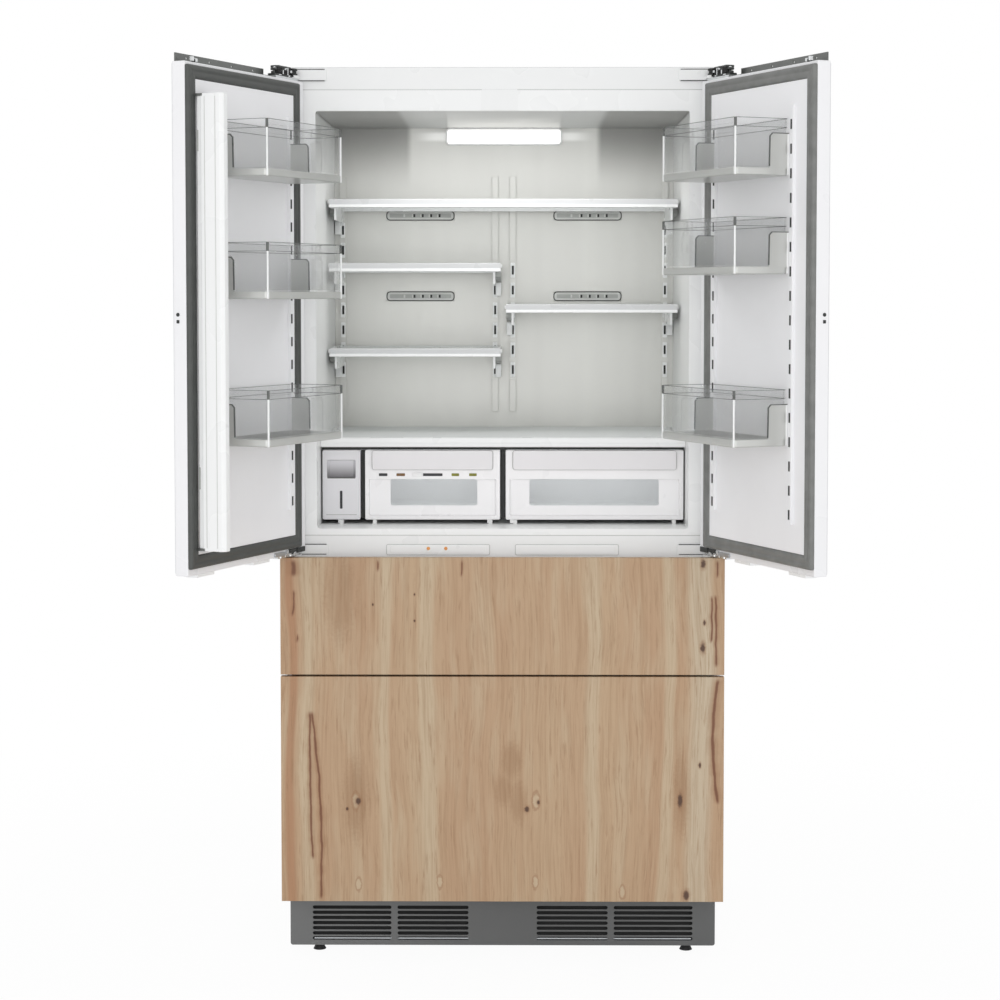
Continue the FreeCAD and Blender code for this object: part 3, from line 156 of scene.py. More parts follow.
def circle(cx, cz, radius, steps=16):
    turns = [2 * math.pi * k / steps for k in range(steps)]
    return [(cx + radius * math.cos(a), cz + radius * math.sin(a)) for a in turns]


# loops of equal length joined one after another, with flat ends or closed into a ring
def addLoft(bm, loops, ring=False):
    rows = [[bm.verts.new(p) for p in loop] for loop in loops]
    count = len(rows[0])
    pairs = list(zip(rows, rows[1:]))
    if ring:
        pairs.append((rows[-1], rows[0]))
    for a, b in pairs:
        for i in range(count):
            j = (i + 1) % count
            bm.faces.new((a[i], a[j], b[j], b[i]))
    if not ring:
        bm.faces.new(rows[0])
        bm.faces.new(rows[-1])


def atY(outline, y):
    return [(x, y, z) for x, z in outline]


def atZ(outline, z):
    return [(x, y, z) for x, y in outline]


# a plate with a rounded front edge, front at the lower y
def addPlate(bm, outlineOf, ys, soft=0.8):
    y0, y1 = ys
    turn = soft * 0.3
    edge = [atY(outlineOf(soft), y0), atY(outlineOf(turn), y0 + turn), atY(outlineOf(0), y0 + soft)]
    addLoft(bm, edge + [atY(outlineOf(0), y1)])


def shrinking(xs, zs, radius, steps=5):
    return lambda amount: roundRect(inset(xs, amount), inset(zs, amount), radius - amount, steps)


def addRoundPlate(bm, xs, zs, ys, radius, soft=0.8, steps=5):
    addPlate(bm, shrinking(xs, zs, radius, steps), ys, soft)


# a level plate with soft upper and lower edges
def addSlab(bm, outlineOf, zs, soft=0.6):
    z0, z1 = zs
    steps = ((soft, z0), (0, z0 + soft), (0, z1 - soft), (soft, z1))
    addLoft(bm, [atZ(outlineOf(amount), z) for amount, z in steps])


# a closed profile of (inset, y) carried round a rounded rectangle
def addFrame(bm, xs, zs, radius, profile, steps=5):
    outlineOf = shrinking(xs, zs, radius, steps)
    addLoft(bm, [atY(outlineOf(amount), y) for amount, y in profile], ring=True)


# the profile of a narrow lip or seam, from back to front
def lipProfile(start, stop, back, front):
    return [(start, back), (start, front), (stop, front), (stop, back)]


# a profile of (y, z) carried along x
def addBar(bm, profile, xs):
    addLoft(bm, [[(x, y, z) for y, z in profile] for x in xs])


# a profile of (x, y) carried up z
def addPost(bm, profile, zs):
    addLoft(bm, [atZ(profile, z) for z in zs])


# a new mesh that begins with one shape
def drawn(add, *shape, **how):
    bm = bmesh.new()
    add(bm, *shape, **how)
    return bm


def dressPiece(name, mesh, body, finish, takes=(), smooth=42):
    mesh.shade_smooth()
    mesh.set_sharp_from_angle(angle=math.radians(smooth))
    mesh.materials.clear()
    mesh.materials.append(finishes[finish])
    piece = bpy.data.objects.new(name, mesh)
    scene.collection.objects.link(piece)
    flat = piece.modifiers.new("flatFaces", "WEIGHTED_NORMAL")
    flat.keep_sharp = True
    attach(piece, body)
    if takes:
        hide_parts(*takes)


def meshFrom(name, bm):
    mesh = bpy.data.meshes.new(name)
    bm.to_mesh(mesh)
    bm.free()
    return mesh


def newPiece(name, bm, body, finish, place=toMetres, takes=(), smooth=42):
    bm.transform(place)
    bmesh.ops.recalc_face_normals(bm, faces=bm.faces)
    dressPiece(name, meshFrom(name, bm), body, finish, takes, smooth)


def boxPiece(name, boxes, body, finish, soft=0.0, segs=2, place=toMetres):
    bm = bmesh.new()
    for xs, ys, zs in boxes:
        addBox(bm, xs, ys, zs, soft, segs)
    newPiece(name, bm, body, finish, place)


# a node's own shape with its sharp edges eased
def easedNode(node, name, finish, ease=0.8, segs=2):
    bm = bmesh.new()
    bm.from_mesh(nodes[node].data)
    bmesh.ops.remove_doubles(bm, verts=bm.verts, dist=1e-5)
    bmesh.ops.dissolve_limit(bm, angle_limit=math.radians(1), verts=bm.verts, edges=bm.edges)
    least = math.radians(38)
    sharp = [e for e in bm.edges if len(e.link_faces) == 2 and e.calc_face_angle(0) > least]
    easeEdges(bm, sharp, ease / 1000, segs)
    dressPiece(name, meshFrom(name, bm), nodes[node]["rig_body"], finish, (node,))


# node helpers, for Geometry Nodes and finishes alike
def fillSockets(tree, node, values):
    for key, value in values.items():
        if isinstance(value, bpy.types.NodeSocket):
            tree.links.new(value, node.inputs[key])
        else:
            node.inputs[key].default_value = value


def addNode(tree, kind, values=None, **settings):
    node = tree.nodes.new(kind)
    for key, value in settings.items():
        setattr(node, key, value)
    fillSockets(tree, node, values or {})
    return node


def addMath(tree, operation, *values):
    return addNode(tree, "ShaderNodeMath", dict(enumerate(values)), operation=operation).outputs[0]


# Geometry Nodes: a tree's inputs, its instances, and its end
def openTree(name, inputs):
    tree = bpy.data.node_groups.new(name, "GeometryNodeTree")
    for label, kind in (("Geometry", "Geometry"), *inputs, ("Finish", "Material")):
        tree.interface.new_socket(label, in_out="INPUT", socket_type="NodeSocket" + kind)
    tree.interface.new_socket("Geometry", in_out="OUTPUT", socket_type="NodeSocketGeometry")
    return tree, tree.nodes.new("NodeGroupInput").outputs


def setOnPoints(tree, values):
    place = addNode(tree, "GeometryNodeInstanceOnPoints", values)
    real = addNode(tree, "GeometryNodeRealizeInstances", {"Geometry": place.outputs["Instances"]})
    return real.outputs["Geometry"]


def closeTree(tree, shape, finish):
    paint = addNode(tree, "GeometryNodeSetMaterial", {"Geometry": shape, "Material": finish})
    addNode(tree, "NodeGroupOutput", {"Geometry": paint.outputs["Geometry"]})
    return tree


# one shape repeated in a row, and the row repeated in rows
def buildRowTree():
    inputs = (("Count", "Int"), ("Step", "Vector"), ("Rows", "Int"), ("Row Step", "Vector"))
    tree, given = openTree("rowOfPieces", inputs)
    shape = given["Geometry"]
    for count, step in (("Count", "Step"), ("Rows", "Row Step")):
        values = {"Count": given[count], "Offset": given[step]}
        line = addNode(tree, "GeometryNodeMeshLine", values, mode="OFFSET")
        shape = setOnPoints(tree, {"Points": line.outputs["Mesh"], "Instance": shape})
    return closeTree(tree, shape, given["Finish"])


# a screw or rivet head on each point, turned to the face it holds: a tapered rim and a raised middle,
# sized as shares of the head's radius and height
headShares = {"foot": (1.0, 0.34), "top": (0.62, 0.34), "height": (1.0, 1.3), "corners": 14}


def buildHeadTree(spec):
    tree, given = openTree("headsOnPoints", (("Radius", "Float"), ("Height", "Float"), ("Turn", "Vector")))
    both = addNode(tree, "GeometryNodeJoinGeometry")
    for foot, top, height in zip(spec["foot"], spec["top"], spec["height"]):
        cone = addNode(tree, "GeometryNodeMeshCone", {
            "Vertices": spec["corners"],
            "Radius Bottom": addMath(tree, "MULTIPLY", given["Radius"], foot),
            "Radius Top": addMath(tree, "MULTIPLY", given["Radius"], top),
            "Depth": addMath(tree, "MULTIPLY", given["Height"], height),
        })
        tree.links.new(cone.outputs["Mesh"], both.inputs["Geometry"])
    values = {"Points": given["Geometry"], "Instance": both.outputs["Geometry"], "Rotation": given["Turn"]}
    return closeTree(tree, setOnPoints(tree, values), given["Finish"])


rowTree = buildRowTree()
headTree = buildHeadTree(headShares)


def treePiece(name, bm, body, finish, tree, values, place):
    maker = bpy.data.objects.new(name + "Maker", meshFrom(name, bm))
    scene.collection.objects.link(maker)
    tool = maker.modifiers.new("tree", "NODES")
    tool.node_group = tree
    given = {**values, "Finish": finishes[finish]}
    for item in tree.interface.items_tree:
        if item.in_out == "INPUT" and item.name in given:
            tool[item.identifier] = given[item.name]
    graph = bpy.context.evaluated_depsgraph_get()
    made = bpy.data.meshes.new_from_object(maker.evaluated_get(graph))
    made.name = name
    maker.modifiers.remove(tool)
    bpy.data.objects.remove(maker)
    made.transform(place)
    if place.determinant() < 0:
        made.flip_normals()
    dressPiece(name, made, body, finish)


# the shape and the steps are millimetres
def rowPiece(name, bm, body, finish, count, step, rows=1, rowStep=(0, 0, 0), place=toMetres):
    bmesh.ops.recalc_face_normals(bm, faces=bm.faces)
    values = {"Count": count, "Step": step, "Rows": rows, "Row Step": rowStep}
    treePiece(name, bm, body, finish, rowTree, values, place)


def headPiece(name, points, body, slotName, finish, radius, height, turn=(0, 0, 0), place=toMetres):
    bm = bmesh.new()
    for point in points:
        bm.verts.new(point)
    values = {"Radius": radius, "Height": height, "Turn": tuple(math.radians(t) for t in turn)}
    treePiece(name, bm, body, finish, headTree, values, place)


print("helpers ready")


# finish helpers
def paintColour(red, green, blue):
    def linear(c):
        c /= 255
        return c / 12.92 if c <= 0.04045 else ((c + 0.055) / 1.055) ** 2.4
    return (linear(red), linear(green), linear(blue), 1)


def shade(colour, factor):
    return (min(colour[0] * factor, 1), min(colour[1] * factor, 1), min(colour[2] * factor, 1), 1)


def newFinish(name):
    finish = bpy.data.materials.new(name)
    finish.use_nodes = True
    finishes[name] = finish
    tree = finish.node_tree
    place = addNode(tree, "ShaderNodeTexCoord").outputs["Object"]
    return tree, tree.nodes["Principled BSDF"], place


def addRange(tree, value, low, high, toLow=0.0, toHigh=1.0, kind="LINEAR"):
    values = {"Value": value, "From Min": low, "From Max": high, "To Min": toLow, "To Max": toHigh}
    return addNode(tree, "ShaderNodeMapRange", values, interpolation_type=kind).outputs["Result"]


def addFade(tree, value, low, high, toLow=0.0, toHigh=1.0):
    return addRange(tree, value, low, high, toLow, toHigh, "SMOOTHSTEP")


def addBlend(tree, factor, a, b):
    return addNode(tree, "ShaderNodeMix", {0: factor, 6: a, 7: b}, data_type="RGBA").outputs[2]


def addNoise(tree, place, scale, detail=3.0, rough=0.5):
    values = {"Vector": place, "Scale": scale, "Detail": detail, "Roughness": rough}
    return addNode(tree, "ShaderNodeTexNoise", values).outputs["Fac"]


def stretched(tree, place, scale):
    return addNode(tree, "ShaderNodeMapping", {"Vector": place, "Scale": scale}).outputs["Vector"]


def addAxes(tree, place):
    return addNode(tree, "ShaderNodeSeparateXYZ", {"Vector": place}).outputs


def addAway(tree, value, middle):
    return addMath(tree, "ABSOLUTE", addMath(tree, "SUBTRACT", value, middle))


# a colour that drifts between two tones of itself
def addTones(tree, noise, colour, less, more, low=0.3, high=0.7):
    return addBlend(tree, addRange(tree, noise, low, high), shade(colour, less), shade(colour, more))


def addSkin(tree, height, strength, distance):
    values = {"Strength": strength, "Distance": distance, "Height": height}
    return addNode(tree, "ShaderNodeBump", values).outputs["Normal"]


# a painted, moulded or bare surface: soft tone drift, uneven gloss and a fine skin
usualLook = {
    "metal": 0.0,
    "speck": 0.0,
    "speckFrom": (0.56, 0.7),
    "speckShade": 0.55,
    "spread": 0.06,
    "bump": 0.06,
    "bumpDepth": 0.0006,
}


def plainFinish(name, colour, rough, tone, drift, grain, unusual):
    look = {**usualLook, **unusual}
    tree, shader, place = newFinish(name)
    broad = addNoise(tree, place, drift)
    fine = addNoise(tree, place, grain)
    base = paintColour(*colour)
    tint = addTones(tree, broad, base, 1 - tone, 1 + tone)
    if look["speck"]:
        spots = addMath(tree, "MULTIPLY", addRange(tree, fine, *look["speckFrom"]), look["speck"])
        tint = addBlend(tree, spots, tint, shade(base, look["speckShade"]))
    spread = look["spread"]
    fillSockets(tree, shader, {
        "Base Color": tint,
        "Roughness": addRange(tree, broad, 0.25, 0.75, rough - spread, rough + spread),
        "Normal": addSkin(tree, fine, look["bump"], look["bumpDepth"]),
        "Metallic": look["metal"],
    })


# colour, roughness, tone drift, scale of the drift, scale of the skin, and what differs from the usual look
finishSpecs = {
    "caseSteel": ((196, 199, 201), 0.42, 0.025, 24, 420, {"metal": 0.35, "speck": 0.08}),
    "insulationFoam": ((232, 216, 170), 0.9, 0.08, 30, 260, {"bump": 0.5}),
    "frameEnamel": ((240, 241, 241), 0.3, 0.012, 6, 800, {"bump": 0.05}),
    "brightEnamel": ((243, 244, 244), 0.28, 0.01, 6, 800, {"bump": 0.05}),
    "doorEnamel": ((241, 241, 243), 0.3, 0.012, 5, 800, {"bump": 0.05}),
    "doorSkin": ((222, 224, 226), 0.46, 0.02, 6, 640, {"bump": 0.07}),
    "linerPlastic": ((236, 237, 236), 0.34, 0.018, 5, 520, {"bump": 0.07}),
    "doorLiner": ((246, 246, 248), 0.36, 0.018, 5, 520, {"bump": 0.07}),
    "freezerPlastic": ((226, 228, 230), 0.36, 0.02, 6, 520, {"bump": 0.07}),
    # mid grey for seams, catches and vent slots; on the shelf brackets it is painted shade
    "ventPlastic": ((174, 176, 173), 0.45, 0.05, 30, 900, {}),
    "ventField": ((208, 209, 206), 0.42, 0.04, 30, 900, {}),
    # a darker grey for the upper part of the shelf trims, painted shade
    "noseGrey": ((210, 211, 212), 0.3, 0.015, 12, 900, {"bump": 0.05}),
    "slotShadow": ((52, 53, 52), 0.7, 0.1, 40, 900, {}),
    "shelfCoat": ((238, 239, 239), 0.28, 0.012, 12, 900, {"bump": 0.05}),
    "crisperPlastic": ((247, 246, 247), 0.3, 0.012, 12, 700, {"bump": 0.05}),
    "tubPlastic": ((236, 237, 238), 0.32, 0.03, 9, 700, {"bump": 0.05}),
    "handlePlastic": ((233, 231, 233), 0.36, 0.02, 9, 700, {"bump": 0.05}),
    "tankPlastic": ((228, 227, 230), 0.34, 0.02, 12, 700, {"bump": 0.05}),
    "knobPlastic": ((244, 244, 244), 0.35, 0.02, 40, 900, {}),
    # dark grey lines, painted in for the dark edges of the clear bins, and the sill of the tank's grip
    "binLine": ((92, 94, 92), 0.3, 0.05, 30, 900, {}),
    "binSilver": ((203, 204, 201), 0.3, 0.015, 6, 1200, {"metal": 0.4, "spread": 0.015}),
    "railSteel": ((112, 114, 112), 0.34, 0.1, 24, 900, {"metal": 0.75, "speck": 0.15}),
    "linkSteel": ((62, 64, 63), 0.3, 0.14, 60, 900, {"metal": 0.7, "speck": 0.2}),
    "brightSteel": ((214, 216, 217), 0.18, 0.05, 60, 900, {"metal": 1.0}),
    "slideZinc": ((186, 189, 192), 0.35, 0.08, 24, 500, {"metal": 0.8}),
    "footRubber": ((24, 24, 25), 0.55, 0.15, 60, 900, {"bump": 0.15}),
    "panZinc": ((168, 171, 173), 0.45, 0.06, 60, 340, {"metal": 0.6, "speck": 0.1}),
    "compressorPaint": ((26, 26, 28), 0.35, 0.15, 30, 600, {"bump": 0.15}),
    "finAluminium": ((198, 200, 202), 0.38, 0.06, 40, 700, {"metal": 0.9}),
    "fanPlastic": ((36, 37, 39), 0.5, 0.12, 40, 900, {"bump": 0.1}),
    "basketPlastic": ((228, 230, 232), 0.4, 0.02, 9, 520, {"bump": 0.1}),
    # near-black, used as painted shade behind the gap between the wood fronts and behind the toe grille
    "gapSeal": ((16, 16, 16), 0.8, 0.2, 40, 900, {"bump": 0.2}),
    "amberMark": ((226, 152, 74), 0.35, 0.05, 90, 900, {}),
    "blackMark": ((34, 34, 38), 0.4, 0.1, 90, 900, {}),
    "brownMark": ((112, 76, 30), 0.4, 0.1, 90, 900, {}),
    "oliveMark": ((124, 124, 34), 0.4, 0.1, 90, 900, {}),
}
for name, spec in finishSpecs.items():
    plainFinish(name, *spec)

# rear wall: satin sheet with soft upright bands, with painted shade in the two upper corners and a painted
# strip of lamp light beside the lamp
rearWall = {
    "colour": (206, 206, 202),
    "band": 0.09,
    "bandScale": (9, 1, 0.35),
    "brushScale": (900, 40, 9),
    # painted shade in the two upper corners: how dark, and where it sets in across and upwards
    "corner": 0.5,
    "cornerIn": (0.205, 0.222),
    "cornerUp": (1.60, 1.745),
    # painted lamp light on the wall beside the lamp: its colour, height, half height and where it fades out
    # to the sides
    "glow": (250, 250, 248),
    "glowMiddle": 1.731,
    "glowHalf": (0.004, 0.014),
    "glowSide": (0.15, 0.215),
    "rough": (0.28, 0.42),
}


def rearWallFinish(spec):
    tree, shader, place = newFinish("rearWallSatin")
    bands = addNoise(tree, stretched(tree, place, spec["bandScale"]), 1.0, 2)
    brushed = addNoise(tree, stretched(tree, place, spec["brushScale"]), 1.0, 2)
    axes = addAxes(tree, place)
    aside = addMath(tree, "ABSOLUTE", axes["X"])
    colour = paintColour(*spec["colour"])
    tint = addTones(tree, bands, colour, 1 - spec["band"], 1 + spec["band"])
    # painted shade: the two upper corners darken
    high = addFade(tree, axes["Z"], *spec["cornerUp"])
    corner = addMath(tree, "MULTIPLY", addFade(tree, aside, *spec["cornerIn"]), high)
    tint = addBlend(tree, corner, tint, shade(colour, spec["corner"]))
    # painted lamp light: a bright strip at the lamp's height, fading out to the sides
    near = addFade(tree, addAway(tree, axes["Z"], spec["glowMiddle"]), *spec["glowHalf"], 1.0, 0.0)
    glow = addMath(tree, "MULTIPLY", near, addFade(tree, aside, *spec["glowSide"], 0.8, 0.0))
    fillSockets(tree, shader, {
        "Base Color": addBlend(tree, glow, tint, paintColour(*spec["glow"])),
        "Roughness": addRange(tree, bands, 0.3, 0.7, *spec["rough"]),
        "Normal": addSkin(tree, brushed, 0.05, 0.0004),
        "Metallic": 0.35,
    })


rearWallFinish(rearWall)

# fridge liner: white plastic, with painted shade on the ceiling that is darkest at its two sides
fridgeLiner = {
    "wall": (236, 237, 236),
    # painted shade: the ceiling colour, the darker colour at its two sides, and where each sets in
    "ceiling": (212, 213, 212),
    "side": (166, 166, 164),
    "up": (1.744, 1.7495),
    "out": (0.205, 0.222),
}


def linerFinish(spec):
    tree, shader, place = newFinish("fridgeLiner")
    drift = addNoise(tree, place, 5.0)
    axes = addAxes(tree, place)
    wall = addTones(tree, drift, paintColour(*spec["wall"]), 0.98, 1.02)
    # painted shade over the ceiling, darkest at its two sides
    aside = addFade(tree, addMath(tree, "ABSOLUTE", axes["X"]), *spec["out"])
    above = addBlend(tree, aside, paintColour(*spec["ceiling"]), paintColour(*spec["side"]))
    fillSockets(tree, shader, {
        "Base Color": addBlend(tree, addRange(tree, axes["Z"], *spec["up"]), wall, above),
        "Roughness": addRange(tree, drift, 0.3, 0.7, 0.3, 0.4),
        "Normal": addSkin(tree, addNoise(tree, place, 520.0), 0.07, 0.0006),
    })


linerFinish(fridgeLiner)

# finger grip of the tank: plastic with painted shade that darkens towards its foot, standing in for the
# shading in the dish
gripShade = {"top": (216, 215, 219), "foot": (126, 124, 127), "z": (0.988, 1.026), "uneven": 0.12}


def gripFinish(spec):
    tree, shader, place = newFinish("gripShade")
    drift = addNoise(tree, place, 20.0)
    # painted shade: darker towards the foot of the grip
    up = addFade(tree, addAxes(tree, place)["Z"], *spec["z"])
    up = addMath(tree, "MULTIPLY_ADD", addMath(tree, "SUBTRACT", drift, 0.5), spec["uneven"], up)
    fillSockets(tree, shader, {
        "Base Color": addBlend(tree, up, paintColour(*spec["foot"]), paintColour(*spec["top"])),
        "Roughness": addRange(tree, drift, 0.3, 0.7, 0.34, 0.44),
    })


gripFinish(gripShade)


# clear plastic and glass, with faint smears in the gloss
def clearFinish(name, colour, rough, through, bend, alpha):
    tree, shader, place = newFinish(name)
    smear = addNoise(tree, place, 14.0, 4)
    base = paintColour(*colour)
    fillSockets(tree, shader, {
        "Base Color": addBlend(tree, smear, shade(base, 0.985), shade(base, 1.01)),
        "Roughness": addRange(tree, smear, 0.3, 0.7, *rough),
        "Transmission Weight": through,
        "IOR": bend,
        "Alpha": alpha,
    })


# colour, roughness, light let through, refractive index, alpha
clearSpecs = {
    "binClear": ((246, 248, 247), (0.02, 0.06), 1.0, 1.2, 0.17),
    "paneGlass": ((238, 244, 241), (0.05, 0.12), 0.9, 1.42, 0.55),
    "windowClear": ((240, 242, 242), (0.02, 0.06), 1.0, 1.3, 0.28),
    "frostedPane": ((247, 249, 248), (0.48, 0.58), 0.0, 1.3, 0.8),
}
for name, spec in clearSpecs.items():
    clearFinish(name, *spec)

# door seals: matt rubber with fine lines along it
# the darker colour is the same rubber with painted shade, for the left door's seal
sealColours = {"sealDark": (78, 80, 78), "sealGrey": (122, 123, 121)}


def sealFinish(name, colour):
    tree, shader, place = newFinish(name)
    dust = addNoise(tree, place, 40.0, 4)
    lines = addNoise(tree, stretched(tree, place, (600, 600, 30)), 1.0, 2)
    fillSockets(tree, shader, {
        "Base Color": addTones(tree, dust, paintColour(*colour), 0.88, 1.14, 0.35),
        "Roughness": addRange(tree, dust, 0.3, 0.7, 0.5, 0.66),
        "Normal": addSkin(tree, lines, 0.12, 0.0004),
    })


for name, colour in sealColours.items():
    sealFinish(name, colour)

# lamp: glowing milky lens with faint prisms
lampGlow = {
    "cool": (1.0, 0.99, 0.96, 1),
    "warm": (1.0, 0.97, 0.92, 1),
    "prisms": (420, 60, 60),
    "strength": 1.1,
}


def lampFinish(spec):
    tree, shader, place = newFinish("lampGlow")
    prisms = addNoise(tree, stretched(tree, place, spec["prisms"]), 1.0, 1)
    glow = addBlend(tree, prisms, spec["cool"], spec["warm"])
    fillSockets(tree, shader, {
        "Base Color": glow,
        "Emission Color": glow,
        "Emission Strength": spec["strength"],
        "Roughness": 0.3,
    })


lampFinish(lampGlow)

# toe grille: satin grey powder coat, paler towards the left
grillePaint = {"dark": (88, 89, 89), "pale": (108, 109, 109), "fade": (-0.44, 0.1), "uneven": 0.25}


def grilleFinish(spec):
    tree, shader, place = newFinish("grillePaint")
    drift = addNoise(tree, place, 7.0, 2)
    across = addFade(tree, addAxes(tree, place)["X"], *spec["fade"], 1.0, 0.0)
    mixed = addMath(tree, "MULTIPLY_ADD", drift, spec["uneven"], across)
    fillSockets(tree, shader, {
        "Base Color": addBlend(tree, mixed, paintColour(*spec["dark"]), paintColour(*spec["pale"])),
        "Roughness": addRange(tree, drift, 0.3, 0.7, 0.38, 0.5),
        "Normal": addSkin(tree, addNoise(tree, place, 900.0, 2), 0.12, 0.0005),
    })


grilleFinish(grillePaint)

# wood fronts: upright veneer, the same sheet running through both panels. Places are metres, X and Z
veneer = {
    "tones": {
        "pink": (180, 148, 117),
        "mid": (185, 157, 126),
        "pale": (194, 175, 147),
        "bleached": (196, 182, 158),
        "red": (166, 120, 86),
        "fibre": (148, 113, 80),
        "halo": (146, 105, 72),
        "split": (110, 66, 41),
        "knot": (70, 42, 28),
    },
    # scale, detail and roughness of each kind of grain
    "grain": {
        "bands": ((15, 2, 0.9), 3, 0.5),
        "patches": ((34, 4, 4.5), 3, 0.5),
        "streaks": ((120, 9, 3.4), 4, 0.6),
        "dashes": ((210, 14, 15), 3, 0.65),
        "fibres": ((290, 40, 7), 3, 0.65),
    },
    "sway": 0.05,
    # dark lines: kind of grain, from, to, strength
    "lines": [("streaks", 0.5, 0.72, 0.32), ("dashes", 0.56, 0.7, 0.5), ("fibres", 0.46, 0.68, 0.3)],
    # upright strips: centre, half width, tone
    "strips": [
        (-0.398, 0.014, "pale"),
        (0.404, 0.026, "bleached"),
        (-0.432, 0.010, "red"),
        (0.338, 0.012, "pale"),
        (-0.150, 0.016, "pale"),
        (0.186, 0.014, "pale"),
        (-0.240, 0.012, "pale"),
    ],
    # centre, low, high, lean, bow, half width
    "splits": [
        (-0.4265, 0.797, 0.838, 0.000, 0.002, 0.0032),
        (-0.4285, 0.716, 0.776, 0.003, 0.002, 0.0013),
        (-0.4205, 0.662, 0.686, 0.001, 0.001, 0.0013),
        (-0.3875, 0.215, 0.526, -0.0055, -0.0035, 0.0016),
        (-0.3720, 0.132, 0.526, -0.0180, 0.0085, 0.0018),
        (-0.2545, 0.808, 0.838, 0.000, 0.001, 0.0011),
        (-0.0840, 0.797, 0.838, 0.001, 0.001, 0.0011),
        (0.4265, 0.662, 0.764, 0.000, 0.001, 0.0014),
        (0.4350, 0.612, 0.766, 0.000, 0.001, 0.0016),
        (0.4365, 0.795, 0.838, 0.000, 0.001, 0.0014),
        (0.4410, 0.330, 0.594, -0.0005, -0.0105, 0.0024),
    ],
    "splitWiden": 1.7,
    # centre X, centre Z, half width, half height
    "knots": [
        (0.409, 0.827, 0.0055, 0.0100),
        (0.409, 0.655, 0.0055, 0.0120),
        (0.412, 0.707, 0.0030, 0.0060),
        (0.364, 0.340, 0.0055, 0.0170),
        (0.404, 0.413, 0.0030, 0.0060),
        (0.377, 0.144, 0.0070, 0.0110),
        (-0.295, 0.338, 0.0065, 0.0080),
        (-0.318, 0.322, 0.0030, 0.0040),
        (0.074, 0.336, 0.0035, 0.0050),
        (0.050, 0.322, 0.0055, 0.0070),
        (-0.264, 0.743, 0.0022, 0.0030),
        (-0.179, 0.764, 0.0022, 0.0030),
        (-0.179, 0.710, 0.0022, 0.0030),
    ],
    # small oval eyes in the grain
    "eyes": [
        (-0.300, 0.339, 0.008, 0.018),
        (0.069, 0.339, 0.008, 0.018),
        (-0.128, 0.171, 0.006, 0.014),
        (-0.295, 0.166, 0.006, 0.014),
        (0.068, 0.171, 0.006, 0.014),
        (0.246, 0.150, 0.006, 0.014),
    ],
    # soft brown patches
    "stains": [
        (0.004, 0.362, 0.014, 0.024),
        (0.032, 0.340, 0.012, 0.034),
        (0.018, 0.420, 0.016, 0.030),
        (-0.300, 0.345, 0.020, 0.060),
        (0.366, 0.350, 0.012, 0.060),
        (-0.330, 0.760, 0.024, 0.070),
    ],
}


def openGroup(name, inputs, outputs):
    tree = bpy.data.node_groups.new(name, "ShaderNodeTree")
    for way, labels in (("INPUT", inputs), ("OUTPUT", outputs)):
        for label in labels:
            tree.interface.new_socket(label, in_out=way, socket_type="NodeSocketFloat")
    return tree, tree.nodes.new("NodeGroupInput").outputs


# how dark a split is: a leaning, bowed and wavering line that tapers off at both ends
splitInputs = ("Centre", "Low", "High", "Lean", "Bow", "Half")
splitLine = {
    "waver": 0.007,
    "waverScale": 22.0,
    "width": (0.7, 1.25),
    "widthScale": 30.0,
    "taper": 0.012,
    "core": 0.35,
    "halo": (0.8, 3.2),
}


def buildSplitGroup(spec):
    tree, given = openGroup("woodSplit", ("X", "Z", *splitInputs), ("Mask", "Halo"))
    low, high = given["Low"], given["High"]
    along = addRange(tree, given["Z"], low, high)
    arch = addMath(tree, "SINE", addMath(tree, "MULTIPLY", along, math.pi))
    line = addMath(tree, "MULTIPLY_ADD", arch, given["Bow"], given["Centre"])
    line = addMath(tree, "MULTIPLY_ADD", along, given["Lean"], line)
    up = addNode(tree, "ShaderNodeCombineXYZ", {"X": given["Centre"], "Y": 0.0, "Z": given["Z"]})
    up = up.outputs["Vector"]
    waver = addMath(tree, "SUBTRACT", addNoise(tree, up, spec["waverScale"]), 0.5)
    line = addMath(tree, "MULTIPLY_ADD", waver, spec["waver"], line)
    off = addAway(tree, given["X"], line)
    width = addRange(tree, addNoise(tree, up, spec["widthScale"], 2), 0.3, 0.7, *spec["width"])
    width = addMath(tree, "MULTIPLY", given["Half"], width)
    core = addRange(tree, off, addMath(tree, "MULTIPLY", width, spec["core"]), width, 1.0, 0.0)
    near, far = (addMath(tree, "MULTIPLY", width, share) for share in spec["halo"])
    halo = addRange(tree, off, near, far, 1.0, 0.0)
    start = addFade(tree, given["Z"], low, addMath(tree, "ADD", low, spec["taper"]))
    stop = addFade(tree, given["Z"], addMath(tree, "SUBTRACT", high, spec["taper"]), high, 1.0, 0.0)
    ends = addMath(tree, "MULTIPLY", start, stop)
    masks = {"Mask": addMath(tree, "MULTIPLY", core, ends), "Halo": addMath(tree, "MULTIPLY", halo, ends)}
    addNode(tree, "NodeGroupOutput", masks)
    return tree


# how dark a knot, an eye or a stain is: an oval with a ragged edge
knotInputs = ("Centre X", "Centre Z", "Half Width", "Half Height")
knotOval = {"ragged": 0.9, "mask": (0.45, 1.15), "halo": (0.6, 1.9), "ring": (0.08, 0.34)}


